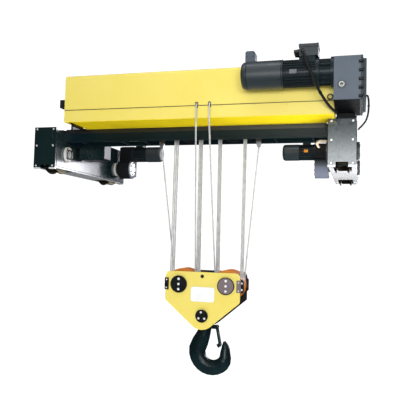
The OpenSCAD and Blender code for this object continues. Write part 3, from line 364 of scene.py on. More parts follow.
# Blender adds a number to a name that the CAD file already uses, and the key leaves it out
MATERIALS = {made.name.split(".")[0]: made for made in (
    # the record's own slots; the yellow is paler and bluer above the drum cover's underside as a painted
    # sheen, and the underside keeps the deeper yellow
    paint("yellow_paint", **YELLOW, corner_shade=0.3, other=(0.86, 0.66, 0.006),
          split=[just("Z", COVER_BOTTOM + 0.0009, -0.0003)]),
    paint("frame_paint", **TEAL, worn=CHIP_TEAL, rough=0.28, coat=0.12, wear=0.22, level=0.22),
    paint("grey_paint", (0.085, 0.102, 0.125), (0.064, 0.078, 0.098), CHIP_LIGHT, **DULL, level=0.25),
    paint("motor_paint", (0.01, 0.019, 0.023), (0.006, 0.011, 0.014), CHIP_BLUE, rough=0.36, coat=0.03,
          wear=0.2, level=0.2),
    paint("black_paint", (0.01, 0.011, 0.013), (0.005, 0.006, 0.007), (0.16, 0.17, 0.18), rough=0.3,
          coat=0.06, wear=0.35, level=0.22),
    paint("sheave_paint", (0.8, 0.24, 0.018), (0.46, 0.11, 0.014), (0.66, 0.46, 0.3), rough=0.36, coat=0.15,
          wear=0.5, corner_shade=0.45),
    bare_metal("wheel_steel", (0.105, 0.09, 0.05), (0.06, 0.052, 0.03), rough=0.5, rust=0.3,
               hub=(0.62, 0.62, 0.64)),
    bare_metal("machined_steel", (0.56, 0.56, 0.57), (0.42, 0.42, 0.43), rough=0.26,
               brushed=(1.0, 0.05, 1.0)),
    bare_metal("cast_steel", (0.42, 0.42, 0.42), (0.28, 0.28, 0.28), rough=0.42, rust=0.15),
    # bolts are black, and bright where they hold the carriages' end plates
    paint("zinc_bolts", (0.014, 0.015, 0.018), (0.01, 0.011, 0.013), (0.6, 0.6, 0.58), rough=0.3,
          edge=0.0008, metal=0.25, corner_shade=0.15, other=(0.86, 0.85, 0.8),
          split=[just("far_Y", END_PLATE_FACE + 0.0036, 0.0004), just("X", COVER_BOLTS_X, -0.001)]),
    forged_paint("forged_steel"),
    wire("wire_rope"),
    glass("sight_glass", (0.62, 0.62, 0.58), (0.46, 0.46, 0.43)),
    rubber("black_plastic", (0.01, 0.01, 0.011), rough=0.38),
    rubber("cable_rubber", (0.008, 0.008, 0.009), rough=0.42),
    plate("white_plate", (0.94, 0.94, 0.93), (0.86, 0.86, 0.85)),
    # finishes of small fittings and of single CAD nodes that the record has no slot for
    # the block is yellow on its front face, and painted black behind it as painted shade
    paint("block_paint", **YELLOW, corner_shade=0.1, other=(0.012, 0.013, 0.015),
          split=[just("Y", BLOCK_FRONT + 0.01, 0.002)]),
    # the carriages' undersides are painted pale as painted light from below, and their outer sides are matt
    paint("carriage_paint", **TEAL, worn=(0.2, 0.24, 0.25), rough=0.2, coat=0.85, wear=0.2,
          other=(0.8, 0.8, 0.82), split=[just("Z", CARRIAGE_BOTTOM + 0.001, -0.0005)],
          matt=[just("X", CARRIAGE_SIDE - 0.0006, 0.0004)]),
    # painted light and shade: the travel gear cases are lit grey-blue low down and black above, the right one
    # all round, the left one on its inner face
    paint("case_paint", (0.009, 0.01, 0.012), (0.006, 0.007, 0.008), (0.22, 0.23, 0.27), rough=0.4,
          coat=0.03, wear=0.3, level=0.12, other=(0.112, 0.125, 0.162),
          split=[just("Z", 0.21, -0.05), just("X", -CASE_FACE - 0.0005, 0.0003)]),
    # painted shade: the gearbox's underside and the frame's top are painted black where they lie in shadow
    paint("gearbox_paint", (0.112, 0.134, 0.163), (0.088, 0.104, 0.129), CHIP_LIGHT, **DULL, level=0.15,
          other=(0.0015, 0.0015, 0.002), split=[just("Z", GEARBOX_BOTTOM + 0.001, -0.0004)]),
    paint("dark_grey", (0.036, 0.048, 0.054), (0.026, 0.036, 0.041), CHIP_BLUE, **DULL, level=0.25),
    paint("beam_paint", (0.003, 0.013, 0.019), (0.002, 0.009, 0.013), CHIP_TEAL, rough=0.34, coat=0.05,
          wear=0.2, level=0.16, orange_peel=0.01, other=(0.003, 0.004, 0.005),
          split=[just("Z", FRAME_TOP - 0.00035, 0.00035)]),
    # the bearing housings on the left carriage are painted bright: a painted reflection of the glare on that
    # carriage's inner side
    paint("bearing_paint", (0.06, 0.064, 0.07), (0.04, 0.043, 0.048), (0.3, 0.31, 0.33), rough=0.4,
          wear=0.4, other=(0.88, 0.87, 0.84), split=[just("X", 0.0, -0.1)]),
    plate("bright_zinc", (0.9, 0.89, 0.86), (0.7, 0.69, 0.66)),
    paint("fan_paint", (0.019, 0.027, 0.032), (0.013, 0.019, 0.023), CHIP_BLUE, rough=0.44, coat=0.04,
          wear=0.1, corner_shade=0.1, level=0.75),
    paint("bolt_black", (0.01, 0.011, 0.013), (0.006, 0.007, 0.009), (0.22, 0.23, 0.25), rough=0.32,
          coat=0.08, wear=0.3, level=0.25),
    # the seam strips' dark brown is painted shade of the cover's seam
    rubber("seam_shade_brown", (0.045, 0.026, 0.014), rough=0.6),
    plate("aluminium_plate", (0.15, 0.155, 0.17), (0.09, 0.095, 0.105)),
    glass("dark_lens", (0.1, 0.1, 0.09), (0.055, 0.055, 0.05)),
    plate("orange_label", (0.82, 0.3, 0.02), (0.62, 0.2, 0.015)),
    rubber("beige_conduit", (0.56, 0.46, 0.33), rough=0.5),
    # a plum-grey that stands for painted light on the hook block's right side
    paint("plum_painted_light", (0.215, 0.165, 0.18), (0.15, 0.11, 0.125), (0.42, 0.36, 0.38), rough=0.42,
          coat=0.05, wear=0.5),
)}


def dress(material, names):
    """Gives the finish to these CAD nodes."""
    for name in names:
        mesh = nodes[name].data
        mesh.materials.clear()
        mesh.materials.append(MATERIALS[material])


def dress_all():
    """Each CAD node takes the finish of its slot in the record, or the closer one that follows."""
    for part in frame["record"]["subparts"]:
        dress(part["material_slot"], [part["node"]])
    dress("block_paint", ["block_side_plates"])
    dress("carriage_paint", ["end_carriage_left", "end_carriage_right", "carriage_end_plates"])
    dress("case_paint", ["travel_gear_cases"])
    dress("bolt_black", [name for name in nodes if name.startswith("upper_sheave_")])
    dress("gearbox_paint", ["gearbox_housing"])
    dress("dark_grey", ["gearbox_cover"])
    dress("beam_paint", ["sheave_frame"])
    dress("bright_zinc", ["cover_screws"])
    dress("bearing_paint", ["bearing_housings"])
    dress("fan_paint", ["motor_fan_cover", "travel_fan_covers", "terminal_box"])


# ---- mesh helpers
def finish_mesh(name, mesh, slot, body):
    """A smooth object out of a mesh, with its finish and the body that it rides on."""
    made = bpy.data.objects.new(name, mesh)
    bpy.context.scene.collection.objects.link(made)
    mesh.materials.clear()
    mesh.materials.append(MATERIALS[slot])
    mesh.shade_smooth()
    if body:
        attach(made, body)
    return made


def directions(path, lead):
    """Each point's own two sideways directions; the path never runs along lead."""
    along = np.gradient(path, axis=0)
    along /= np.linalg.norm(along, axis=1)[:, None]
    u = np.cross(along, np.array(lead, float))
    u /= np.linalg.norm(u, axis=1)[:, None]
    return u, np.cross(along, u)


def tube(path, radius, sides, lead):
    """A closed tube along path as its vertices and faces. radius is one number or one for each point."""
    path = np.asarray(path, float)
    u, w = directions(path, lead)
    angle = 2 * np.pi * np.arange(sides) / sides
    reach = np.broadcast_to(np.asarray(radius, float), (len(path),))[:, None, None]
    ring = u[:, None] * np.cos(angle)[None, :, None] + w[:, None] * np.sin(angle)[None, :, None]
    points = (path[:, None] + reach * ring).reshape(-1, 3)
    i, k = np.meshgrid(np.arange(len(path) - 1), np.arange(sides), indexing="ij")
    i, k, n = i.ravel(), k.ravel(), sides
    faces = np.stack([i * n + k, i * n + (k + 1) % n, (i + 1) * n + (k + 1) % n, (i + 1) * n + k], 1).tolist()
    faces.append(list(reversed(range(n))))
    faces.append([(len(path) - 1) * n + j for j in range(n)])
    return points, faces


def joined_mesh(name, shapes):
    """One mesh out of several (vertices, faces) shapes."""
    points, faces, count = [], [], 0
    for some, polygons in shapes:
        points.append(np.asarray(some, float))
        faces += [[i + count for i in polygon] for polygon in polygons]
        count += len(some)
    mesh = bpy.data.meshes.new(name)
    mesh.from_pydata(np.concatenate(points).tolist(), [], faces)
    bm = bmesh.new()
    bm.from_mesh(mesh)
    bmesh.ops.recalc_face_normals(bm, faces=bm.faces)
    bm.to_mesh(mesh)
    bm.free()
    return mesh


def to_mesh(bm, name):
    bmesh.ops.recalc_face_normals(bm, faces=bm.faces)
    mesh = bpy.data.meshes.new(name)
    bm.to_mesh(mesh)
    bm.free()
    return mesh


# ---- wire rope
STRANDS = 6
# Length in which a strand goes once round
LAY = 0.098


def even_path(points, step):
    """The same line with its points about step apart."""
    out = [points[0]]
    for a, b in zip(points, points[1:]):
        count = max(1, round((b - a).length / step))
        out += [a.lerp(b, k / count) for k in range(1, count + 1)]
    return np.array([tuple(p) for p in out])


def rope_mesh(name, points, step=0.0115, lead=(0.31, 0.95, 0.07)):
    """Six strands laid round a core, all inside the rope's own diameter."""
    path = even_path(points, step)
    strand_r = ROPE_D / 2 / 3.0
    lay_r = ROPE_D / 2 - strand_r
    u, w = directions(path, lead)
    run = np.concatenate([[0.0], np.cumsum(np.linalg.norm(np.diff(path, axis=0), axis=1))])
    shapes = [tube(path, lay_r * 0.98, 8, lead)]
    for s in range(STRANDS):
        a = (2 * np.pi * (s / STRANDS + run / LAY))[:, None]
        shapes.append(tube(path + lay_r * (np.cos(a) * u + np.sin(a) * w), strand_r, 6, lead))
    return joined_mesh(name, shapes)


def pin_x(side):
    return BLOCK_X + side * PIN_HALF


def block_y(k):
    """Where block sheave k of a side lies along its pin."""
    return MID_Y + (k - 2.5) * PITCH


def upper_y(k):
    """Where upper sheave k of a side lies: between block sheaves k and k + 1."""
    return MID_Y + (k - 2) * PITCH


def side_name(side):
    return "right" if side > 0 else "left"


def straight_fall(name, top, bottom):
    """A straight fall that hangs from the trolley down to the block."""
    made = finish_mesh(name, rope_mesh(name, [top, bottom]), "wire_rope", None)
    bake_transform(made)


def drum_fall(side):
    """From the block up to the fold under the cover, then along the cover's front and in to the drum."""
    inner = pin_x(side) - side * SHEAVE_R
    above_sheave = PIN_Z + 0.1
    low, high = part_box("drum_cover_lower")
    exit_x = EXIT_MID + side * EXIT_HALF
    exit_y = low.y - ROPE_D / 2 - 0.004
    fold = low.z - 0.006
    seam = high.z - 0.009
    drum = middle("hoist_drum")
    rope_on_drum = 0.1525
    points = [v(inner, block_y(1), PIN_Z), v(inner, block_y(1), above_sheave), v(exit_x, exit_y, fold),
              v(exit_x, exit_y, seam), v(exit_x, drum.y - rope_on_drum - 0.0055, seam + 0.04),
              v(exit_x, drum.y - rope_on_drum, drum.z)]
    name = f"drum_fall_{side_name(side)}"
    made = finish_mesh(name, rope_mesh(name, points), "wire_rope", None)
    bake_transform(made)
    return made


def wrap(name, x, y, z, over, body):
    """The half turn of rope that lies in a sheave's groove."""
    arc = [v(x + SHEAVE_R * cos(a), y, z + SHEAVE_R * sin(a))
           for a in (radians(q if over else -q) for q in range(0, 181, 5))]
    finish_mesh(name, rope_mesh(name, arc, step=0.011, lead=Y_AXIS), "wire_rope", body)


def ropes():
    """Eight falls on each side, from the drum to the dead end, and the half turns between them."""
    for side in (-1, 1):
        label = side_name(side)
        outer = pin_x(side) + side * SHEAVE_R
        inner = pin_x(side) - side * SHEAVE_R
        anchor = ANCHOR_MID + side * ANCHOR_HALF
        drum_fall(side)
        straight_fall(f"dead_end_{label}", v(anchor, block_y(4), ANCHOR_Z), v(outer, block_y(4), PIN_Z))
        for k in (1, 2, 3):
            y = upper_y(k)
            straight_fall(f"outer_fall_{label}_{k}", v(outer, y, UPPER_Z), v(outer, block_y(k), PIN_Z))
            straight_fall(f"inner_fall_{label}_{k}", v(inner, y, UPPER_Z), v(inner, block_y(k + 1), PIN_Z))
            wrap(f"upper_wrap_{label}_{k}", pin_x(side), y, UPPER_Z, True, "trolley")
        for k in (1, 2, 3, 4):
            wrap(f"block_wrap_{label}_{k}", pin_x(side), block_y(k), PIN_Z, False, "hook_block")
    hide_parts("rope_falls")


# ---- shapes for fittings
def axes_of(axis):
    a = np.array(axis, float)
    a /= np.linalg.norm(a)
    helper = (0.0, 0.0, 1.0) if abs(a[2]) < 0.9 else (1.0, 0.0, 0.0)
    u = np.cross(helper, a)
    u /= np.linalg.norm(u)
    return a, u, np.cross(a, u)


def lathe(profile, place, axis, sides=24, ring=False):
    """A profile of (radius, height) turned about axis at place; ring joins its ends."""
    a, u, w = axes_of(axis)
    angle = 2 * np.pi * np.arange(sides) / sides
    spoke = np.cos(angle)[:, None] * u + np.sin(angle)[:, None] * w
    points = np.concatenate([np.array(place, float) + h * a + max(r, 1e-5) * spoke for r, h in profile])
    count, n = len(profile), sides
    faces = []
    for i in range(count if ring else count - 1):
        j = (i + 1) % count
        faces += [[i * n + k, i * n + (k + 1) % n, j * n + (k + 1) % n, j * n + k] for k in range(n)]
    if not ring:
        faces += [list(reversed(range(n))), [(count - 1) * n + k for k in range(n)]]
    return points, faces


def slab(outline, place, u, w, depth, chamfer=0.001):
    """A flat plate with a chamfered outer edge: outline, as pairs along u and w, grown along u x w."""
    u, w = np.array(u, float), np.array(w, float)
    up = np.cross(u, w)
    flat = np.array(outline, float)
    middle = flat.mean(0)
    spans = np.abs(flat - middle).max(0)
    inner = middle + (flat - middle) * (1 - chamfer / spans)
    layers = [(flat, 0.0), (flat, depth - chamfer), (inner, depth)]
    points = np.concatenate([np.array(place, float) + f[:, :1] * u + f[:, 1:] * w + h * up for f, h in layers])
    n = len(flat)
    faces = [list(reversed(range(n))), [2 * n + k for k in range(n)]]
    for i in (0, 1):
        a, b = i * n, (i + 1) * n
        faces += [[a + k, a + (k + 1) % n, b + (k + 1) % n, b + k] for k in range(n)]
    return points, faces


def round_rect(width, height, radius, steps=4):
    out = []
    for sx, sy, first in ((1, 1, 0), (-1, 1, 90), (-1, -1, 180), (1, -1, 270)):
        for k in range(steps + 1):
            q = radians(first + 90 * k / steps)
            out.append((sx * (width / 2 - radius) + radius * cos(q),
                        sy * (height / 2 - radius) + radius * sin(q)))
    return out


def brick(low, high, chamfer=0.001):
    low, high = Vector(low), Vector(high)
    size = high - low
    outline = round_rect(size.x, size.y, min(size.x, size.y, 0.008) * 0.35, 3)
    place = ((low.x + high.x) / 2, (low.y + high.y) / 2, low.z)
    return slab(outline, place, X_AXIS, Y_AXIS, size.z, chamfer)


def hex_bolt(place, axis, size):
    washer = lathe([(size * 1.32, 0), (size * 1.32, size * 0.16), (size * 1.22, size * 0.22)], place, axis, 20)
    base = np.array(place, float) + np.array(axes_of(axis)[0]) * size * 0.22
    head = lathe([(size, 0), (size, size * 0.48), (size * 0.84, size * 0.62)], base, axis, 6)
    return [washer, head]


def cap_screw(place, axis, size):
    """A socket-head screw: a round head with its hexagon socket."""
    return [lathe([(size, 0), (size, size * 0.8), (size * 0.9, size), (size * 0.5, size),
                   (size * 0.46, size * 0.45), (0, size * 0.45)], place, axis, 18)]


def pan_screw(place, axis, size):
    return [lathe([(size, 0), (size * 0.98, size * 0.3), (size * 0.8, size * 0.52), (size * 0.35, size * 0.62),
                   (size * 0.3, size * 0.35), (0, size * 0.35)], place, axis, 14)]


def piece(name, shapes, slot, body="trolley", angle=35.0):
    """One named piece out of several shapes, smooth except at its real edges."""
    mesh = joined_mesh(name, shapes)
    finish_mesh(name, mesh, slot, body)
    mesh.set_sharp_from_angle(angle=radians(angle))


def bead(a, b, radius=0.0042):
    """A weld bead: a low ridge with the ripples that each pass leaves."""
    a, b = Vector(a), Vector(b)
    pitch = 0.007
    count = max(6, int((b - a).length / (pitch / 3)))
    path = [a.lerp(b, k / count) for k in range(count + 1)]
    wave = [radius * (1 + 0.16 * cos(2 * pi * k / 3) + 0.1 * sin(k * 0.37))
            for k in range(count + 1)]
    lead = (0.31, 0.95, 0.07) if abs((b - a).normalized().y) < 0.8 else (0.95, 0.1, 0.31)
    return tube(np.array([tuple(p) for p in path]), wave, 8, lead)


# ---- fittings
def carriage_welds():
    """Beads round the end plates and along the bottom flanges."""
    shapes = []
    for side, name in ((-1, "end_carriage_left"), (1, "end_carriage_right")):
        low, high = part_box(name)
        centre = side * RAIL_X
        for y, out in ((low.y, 1), (high.y, -1)):
            y += out * 0.001
            for x in (centre - CARRIAGE_HALF, centre + CARRIAGE_HALF):
                shapes.append(bead((x, y, low.z + 0.01), (x, y, high.z - 0.02)))
            shapes.append(bead((centre - CARRIAGE_HALF, y, low.z), (centre + CARRIAGE_HALF, y, low.z)))
        for x in (centre - CARRIAGE_HALF + 0.001, centre + CARRIAGE_HALF - 0.001):
            flange = (x, low.y + 0.03, low.z + 0.016), (x, high.y - 0.03, low.z + 0.016)
            shapes.append(bead(*flange, 0.0028))
    piece("carriage_welds", shapes, "frame_paint", angle=60)


def frame_welds():
    """Beads at the frame's end brackets and along its long plates."""
    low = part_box("sheave_frame")[0]
    bracket_top, seam_z = 0.372, 0.2985
    shapes = []
    for side in (-1, 1):
        x = side * (INNER_X - 0.0185)
        for y in (low.y + 0.012, MID_Y + FRAME_HALF):
            shapes.append(bead((x, y, low.z + 0.016), (x, y, bracket_top)))
    end = INNER_X - 0.03
    for out in (-1, 1):
        y = MID_Y + out * (FRAME_HALF + 0.001)
        shapes.append(bead((-end, y, seam_z), (end, y, seam_z), 0.003))
    piece("frame_welds", shapes, "frame_paint", angle=60)


def cover_gap_shade():
    """A black strip under the drum cover's rear edge, standing in for the shade in the gap between the cover
    and the frame.
    """
    end = INNER_X - 0.019
    low, high = (-end, MID_Y - 0.1385, 0.374), (end, MID_Y - 0.124, COVER_BOTTOM - 0.0004)
    piece("cover_gap_shade", [brick(low, high, 0.001)], "black_plastic")


def pin_keepers():
    """The plates that keep the upper sheave pins from turning."""
    shapes, bolts = [], []
    y, z, thick = MID_Y + FRAME_HALF + 0.0005, UPPER_Z + 0.03, 0.007
    for side in (-1, 1):
        x = pin_x(side)
        shapes.append(slab(round_rect(0.11, 0.03, 0.004), (x, y, z), LEFT, Z_AXIS, thick))
        for dx in (-0.042, 0.042):
            bolts += hex_bolt((x + dx, y + thick, z), Y_AXIS, 0.008)
    piece("pin_keepers", shapes, "machined_steel")
    piece("pin_keeper_bolts", bolts, "zinc_bolts")


def axle_seals():
    """Black lip seals and snap rings round the axles, on both faces of each carriage."""
    lip = [(0.037, 0), (0.037, 0.0035), (0.041, 0.0048), (0.052, 0.0042), (0.054, 0)]
    rim = [(0.068, 0), (0.068, 0.0022), (0.074, 0.0022), (0.074, 0)]
    housing = 0.024
    seals, rings = [], []
    for side in (-1, 1):
        for y in (-WHEEL_Y, WHEEL_Y):
            for face in (-1, 1):
                place = (side * RAIL_X + face * (CARRIAGE_HALF + housing), y, AXLE_Z)
                seals.append(lathe(lip, place, (face, 0, 0), 40, ring=True))
                rings.append(lathe(rim, place, (face, 0, 0), 40, ring=True))
    piece("axle_seals", seals, "black_plastic")
    piece("bearing_rims", rings, "bolt_black")


def cover_trim():
    """The cover's dark brown seam strips, standing in for the shade in its seam, and its folded lips and
    screws.
    """
    low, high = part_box("drum_cover_lower")
    top_low, top_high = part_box("drum_cover_upper")
    seam = (high.z, top_low.z)
    inset, depth, end = 0.0012, 0.006, 0.002
    slots = sorted(EXIT_MID + side * EXIT_HALF for side in (-1, 1))
    spans = [(low.x + end, slots[0] - SLOT_HALF), (slots[0] + SLOT_HALF, slots[1] - SLOT_HALF),
             (slots[1] + SLOT_HALF, high.x - end)]
    # dark brown strips in and over the seam gap: painted shade of the seam
    seal = [brick((a, low.y + inset, seam[0]), (b, low.y + depth, seam[1]), 0.0004) for a, b in spans]
    for a, b in spans:
        outer_lip = (a, low.y - 0.0018, seam[0] - 0.0014), (b, low.y - 0.0003, seam[1] + 0.0014)
        seal.append(brick(*outer_lip, 0.0004))
    rear = (low.x + end, high.y - depth, seam[0]), (high.x - end, high.y - inset, seam[1])
    left = (low.x + inset, low.y + depth, seam[0]), (low.x + depth, high.y - depth, seam[1])
    seal += [brick(*rear, 0.0004), brick(*left, 0.0004)]
    piece("seam_shade_strip", seal, "seam_shade_brown")
    lips = []
    for y in (low.y + 0.004, high.y - 0.004):
        edge = [(low.x + 0.004, y, low.z + 0.0005), (high.x - 0.004, y, low.z + 0.0005)]
        lips.append(tube(edge, 0.0045, 10, (0.2, 0.9, 0.3)))
    piece("cover_lips", lips, "yellow_paint", angle=60)
    screws = []
    margin, last, head = 0.1, 8, 0.0055
    for k in range(last + 1):
        x = low.x + margin + k * (high.x - low.x - 2 * margin) / last
        if min(abs(x - slot) for slot in slots) < 0.03:
            x += 0.05
        for y, out in ((low.y, -1), (high.y, 1)):
            screws += pan_screw((x, y, seam[0] - 0.014), (0, out, 0), head)
    for y in np.linspace(low.y + 0.04, high.y - 0.04, 4):
        for z in (low.z + 0.03, top_high.z - 0.045):
            screws += pan_screw((low.x, y, z), LEFT, head)
    piece("cover_pan_screws", screws, "yellow_paint")


def hoist_motor_fittings():
    """The motor's bands, air slots, screws, gasket, rating plate and flange bolts."""
    low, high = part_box("motor_fan_cover")
    y, z, r = middle("motor_fan_cover").y, middle("motor_fan_cover").z, (high.z - low.z) / 2
    band = [(r - 0.001, -0.005), (r + 0.0012, -0.003), (r + 0.0018, 0), (r + 0.0012, 0.003),
            (r - 0.001, 0.005)]
    bands = [lathe(band, (x, y, z), X_AXIS, 72, ring=True) for x in (high.x - 0.01, low.x + 0.052)]
    piece("fan_cover_bands", bands, "motor_paint")
    slots = []
    for ring_r, count in ((0.03, 10), (0.052, 18)):
        for k in range(count):
            q = 2 * pi * k / count
            u = np.array((0, cos(q), sin(q)))
            w = np.array((0, -sin(q), cos(q)))
            place = np.array((low.x, y, z)) + ring_r * u
            slots.append(slab(round_rect(0.015, 0.0055, 0.0026), place, -u, w, 0.0006, 0.0002))
    piece("fan_cover_slots", slots, "black_plastic")
    screws = []
    for q in (35, 125, 215, 305):
        d = (0, cos(radians(q)), sin(radians(q)))
        place = (high.x - 0.026, y + (r - 0.0005) * d[1], z + (r - 0.0005) * d[2])
        screws += cap_screw(place, d, 0.0055)
    box_low, box_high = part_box("terminal_box")
    for x in (box_low.x + 0.012, box_high.x - 0.012):
        for side_y in (box_low.y + 0.012, box_high.y - 0.012):
            screws += cap_screw((x, side_y, box_high.z - 0.0005), Z_AXIS, 0.005)
    brake_low, brake_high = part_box("brake_box")
    for x in (brake_low.x + 0.012, brake_high.x - 0.014):
        for screw_z in (brake_high.z - 0.045, brake_high.z - 0.016):
            screws += cap_screw((x, brake_low.y, screw_z), FRONT, 0.0035)
    piece("motor_screws", screws, "bolt_black")
    inset = 0.0015
    gasket = brick((box_low.x + inset, box_low.y + inset, box_high.z - 0.0262),
                   (box_high.x - inset, box_high.y - inset, box_high.z - 0.023), 0.0004)
    piece("terminal_gasket", [gasket], "black_plastic")
    place = (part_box("motor_stator")[0].x + 0.085, y - r + 0.0025, z - 0.012)
    rating = slab(round_rect(0.058, 0.034, 0.003), place, X_AXIS, Z_AXIS, 0.0012, 0.0004)
    piece("rating_plate", [rating], "aluminium_plate")
    flange_low, flange_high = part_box("motor_flange")
    thick, bolt_circle = 0.0262, 0.104
    nuts = []
    for k in range(8):
        q = radians(45 * k)
        for x, out in ((flange_low.x + thick, 1), (flange_high.x - thick, -1)):
            place = (x, y + bolt_circle * cos(q), z + bolt_circle * sin(q))
            nuts += hex_bolt(place, (out, 0, 0), 0.0075)
    piece("flange_bolts", nuts, "black_paint")


def gearbox_fittings():
    """The gearbox's plugs, edge studs, breather, gasket and sight glass."""
    low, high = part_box("gearbox_housing")
    cover_x, stud_x, top = 1.547, 1.5325, 0.812
    x = (low.x + cover_x) / 2
    plugs = hex_bolt((x + 0.045, high.y, 0.56), Y_AXIS, 0.013)
    plugs += hex_bolt((x - 0.052, high.y, 0.74), Y_AXIS, 0.011)
    stud = [(0.0105, 0), (0.012, 0.002), (0.012, 0.03), (0.0105, 0.033)]
    for z in (0.49, 0.556, 0.622, 0.69, 0.758):
        plugs.append(lathe(stud, (stud_x, low.y - 0.004, z), X_AXIS, 20))
    breather = [(0.016, 0), (0.016, 0.01), (0.011, 0.013), (0.011, 0.024), (0.018, 0.027), (0.018, 0.036),
                (0.013, 0.041)]
    plugs.append(lathe(breather, (x + 0.02, low.y + 0.3, top), Z_AXIS, 24))
    piece("gearbox_plugs", plugs, "bolt_black")
    glass_x, glass_z = middle("oil_sight_glass").x, middle("oil_sight_glass").z
    boss = [(0.0215, 0), (0.0215, 0.004), (0.03, 0.004), (0.033, 0.0)]
    boss = lathe(boss, (glass_x, low.y, glass_z), FRONT, 40, ring=True)
    piece("sight_glass_boss", [boss], "grey_paint")
    lens = [(0.0128, 0.0), (0.0128, 0.0012), (0.01, 0.0026), (0.005, 0.0032)]
    lens = lathe(lens, (glass_x, low.y - 0.004, glass_z), FRONT, 32)
    piece("sight_glass_lens", [lens], "dark_lens")
    strip = (cover_x - 0.0008, low.y + 0.03, high.z - 0.0108), (cover_x + 0.0012, -0.7, high.z - 0.0096)
    piece("gearbox_gasket", [brick(*strip, 0.0002)], "black_plastic")


def on_circle(x, y, z, radius, degrees):
    """A place on a circle round an axis along X."""
    angle = radians(degrees)
    return (x, y + radius * cos(angle), z + radius * sin(angle))


def travel_fittings():
    """The travel drives' bolts, axle caps, grilles, lids, plain label and conduit."""
    bolts, grilles, lids, caps = [], [], [], []
    axle_cap = [(0.0001, 0.003), (0.03, 0.003), (0.034, 0.005), (0.082, 0.005), (0.084, 0.003), (0.084, 0)]
    fan_gap = 0.0008
    for side in (-1, 1):
        outer = side * (INNER_X - CASE_GAP)
        inner = outer - side * CASE_WIDTH
        for face, out in ((outer, side), (inner, -side)):
            for k in range(8):
                place = on_circle(face, TRAVEL_Y, TRAVEL_Z, TRAVEL_R, 45 * k + 22)
                bolts += hex_bolt(place, (out, 0, 0), 0.007)
            for q in (200, 235, 270, 305, 340):
                bolts += hex_bolt(on_circle(face, WHEEL_Y, AXLE_Z, 0.104, q), (out, 0, 0), 0.0065)
        caps.append(lathe(axle_cap, (inner, WHEEL_Y, AXLE_Z), (-side, 0, 0), 36))
        for k in range(6):
            place = on_circle(inner - side * 0.005, WHEEL_Y, AXLE_Z, 0.064, 60 * k + 30)
            bolts += hex_bolt(place, (-side, 0, 0), 0.008)
        end = inner - side * (TRAVEL_MOTOR + fan_gap + TRAVEL_FAN)
        for k in range(14):
            a = 2 * pi * k / 14
            u, w = np.array((0, cos(a), sin(a))), np.array((0, -sin(a), cos(a)))
            place = np.array((end, TRAVEL_Y, TRAVEL_Z)) + 0.04 * u
            grilles.append(slab(round_rect(0.03, 0.006, 0.0028), place, side * u, w, 0.0006, 0.0002))
        x = 0.085 + (inner - TRAVEL_MOTOR if side > 0 else inner)
        top = TRAVEL_Z + TRAVEL_R + 0.022
        lids.append(slab(round_rect(0.096, 0.106, 0.006), (x, TRAVEL_Y, top), X_AXIS, Y_AXIS, 0.008))
        for dx in (-0.04, 0.04):
            for dy in (-0.045, 0.045):
                bolts += cap_screw((x + dx, TRAVEL_Y + dy, top + 0.008), Z_AXIS, 0.004)
    piece("travel_bolts", bolts, "black_paint")
    piece("axle_caps", caps, "bright_zinc")
    piece("travel_fan_slots", grilles, "black_plastic")
    piece("travel_lids", lids, "motor_paint")
    right = INNER_X - CASE_GAP - CASE_WIDTH
    x, y, z = right - 0.1, TRAVEL_Y - TRAVEL_R, TRAVEL_Z + 0.004
    label = slab(round_rect(0.044, 0.03, 0.002), (x, y - 0.0004, z), X_AXIS, Z_AXIS, 0.0016, 0.0003)
    piece("travel_label", [label], "orange_label")
    pad = slab(round_rect(0.06, 0.042, 0.003), (x, y + 0.0085, z), X_AXIS, Z_AXIS, 0.009, 0.001)
    piece("travel_label_pad", [pad], "motor_paint")
    route = [(right + dx, y, z) for dx, y, z in (
        (0.2075, -0.62, 0.262), (0.165, -0.62, 0.262), (0.125, -0.6, 0.266), (0.095, -0.5, 0.272),
        (0.085, -0.3, 0.28), (0.075, 0.0, 0.31), (0.02, 0.25, 0.4), (-0.05, 0.42, 0.476),
        (-0.085, 0.52, 0.486), (-0.092, 0.58, 0.474), (-0.095, 0.6, 0.462))]
    path = smooth_route(route, 30)
    wave = [0.0105 + 0.001 * cos(i * pi / 1.5) for i in range(len(path))]
    piece("travel_conduit", [tube(path, wave, 12, (0.05, 0.1, 0.99))], "beige_conduit", angle=60)


def smooth_route(points, steps):
    """A Catmull-Rom curve through points."""
    p = [np.array(q, float) for q in points]
    out = []
    for i in range(len(p) - 1):
        a, b, c, d = p[max(i - 1, 0)], p[i], p[i + 1], p[min(i + 2, len(p) - 1)]
        for k in range(steps):
            s = k / steps
            out.append(0.5 * (2 * b + (c - a) * s + (2 * a - 5 * b + 4 * c - d) * s ** 2
                              + (3 * b - a - 3 * c + d) * s ** 3))
    out.append(p[-1])
    return np.array(out)


def junction_fittings():
    """The lid of the dark box at the left, with four screws."""
    low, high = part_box("junction_box")
    edge, inset, thick = 0.012, 0.026, 0.004
    outline = round_rect(high.x - low.x - edge, high.z - low.z - edge, 0.02)
    place = (middle("junction_box").x, low.y, middle("junction_box").z)
    lid = slab(outline, place, X_AXIS, Z_AXIS, thick, 0.0015)
    screws = []
    for x in (low.x + inset, high.x - inset):
        for z in (low.z + inset, high.z - inset):
            screws += cap_screw((x, low.y - thick, z), FRONT, 0.006)
    piece("junction_lid", [lid], "frame_paint")
    piece("junction_screws", screws, "zinc_bolts")


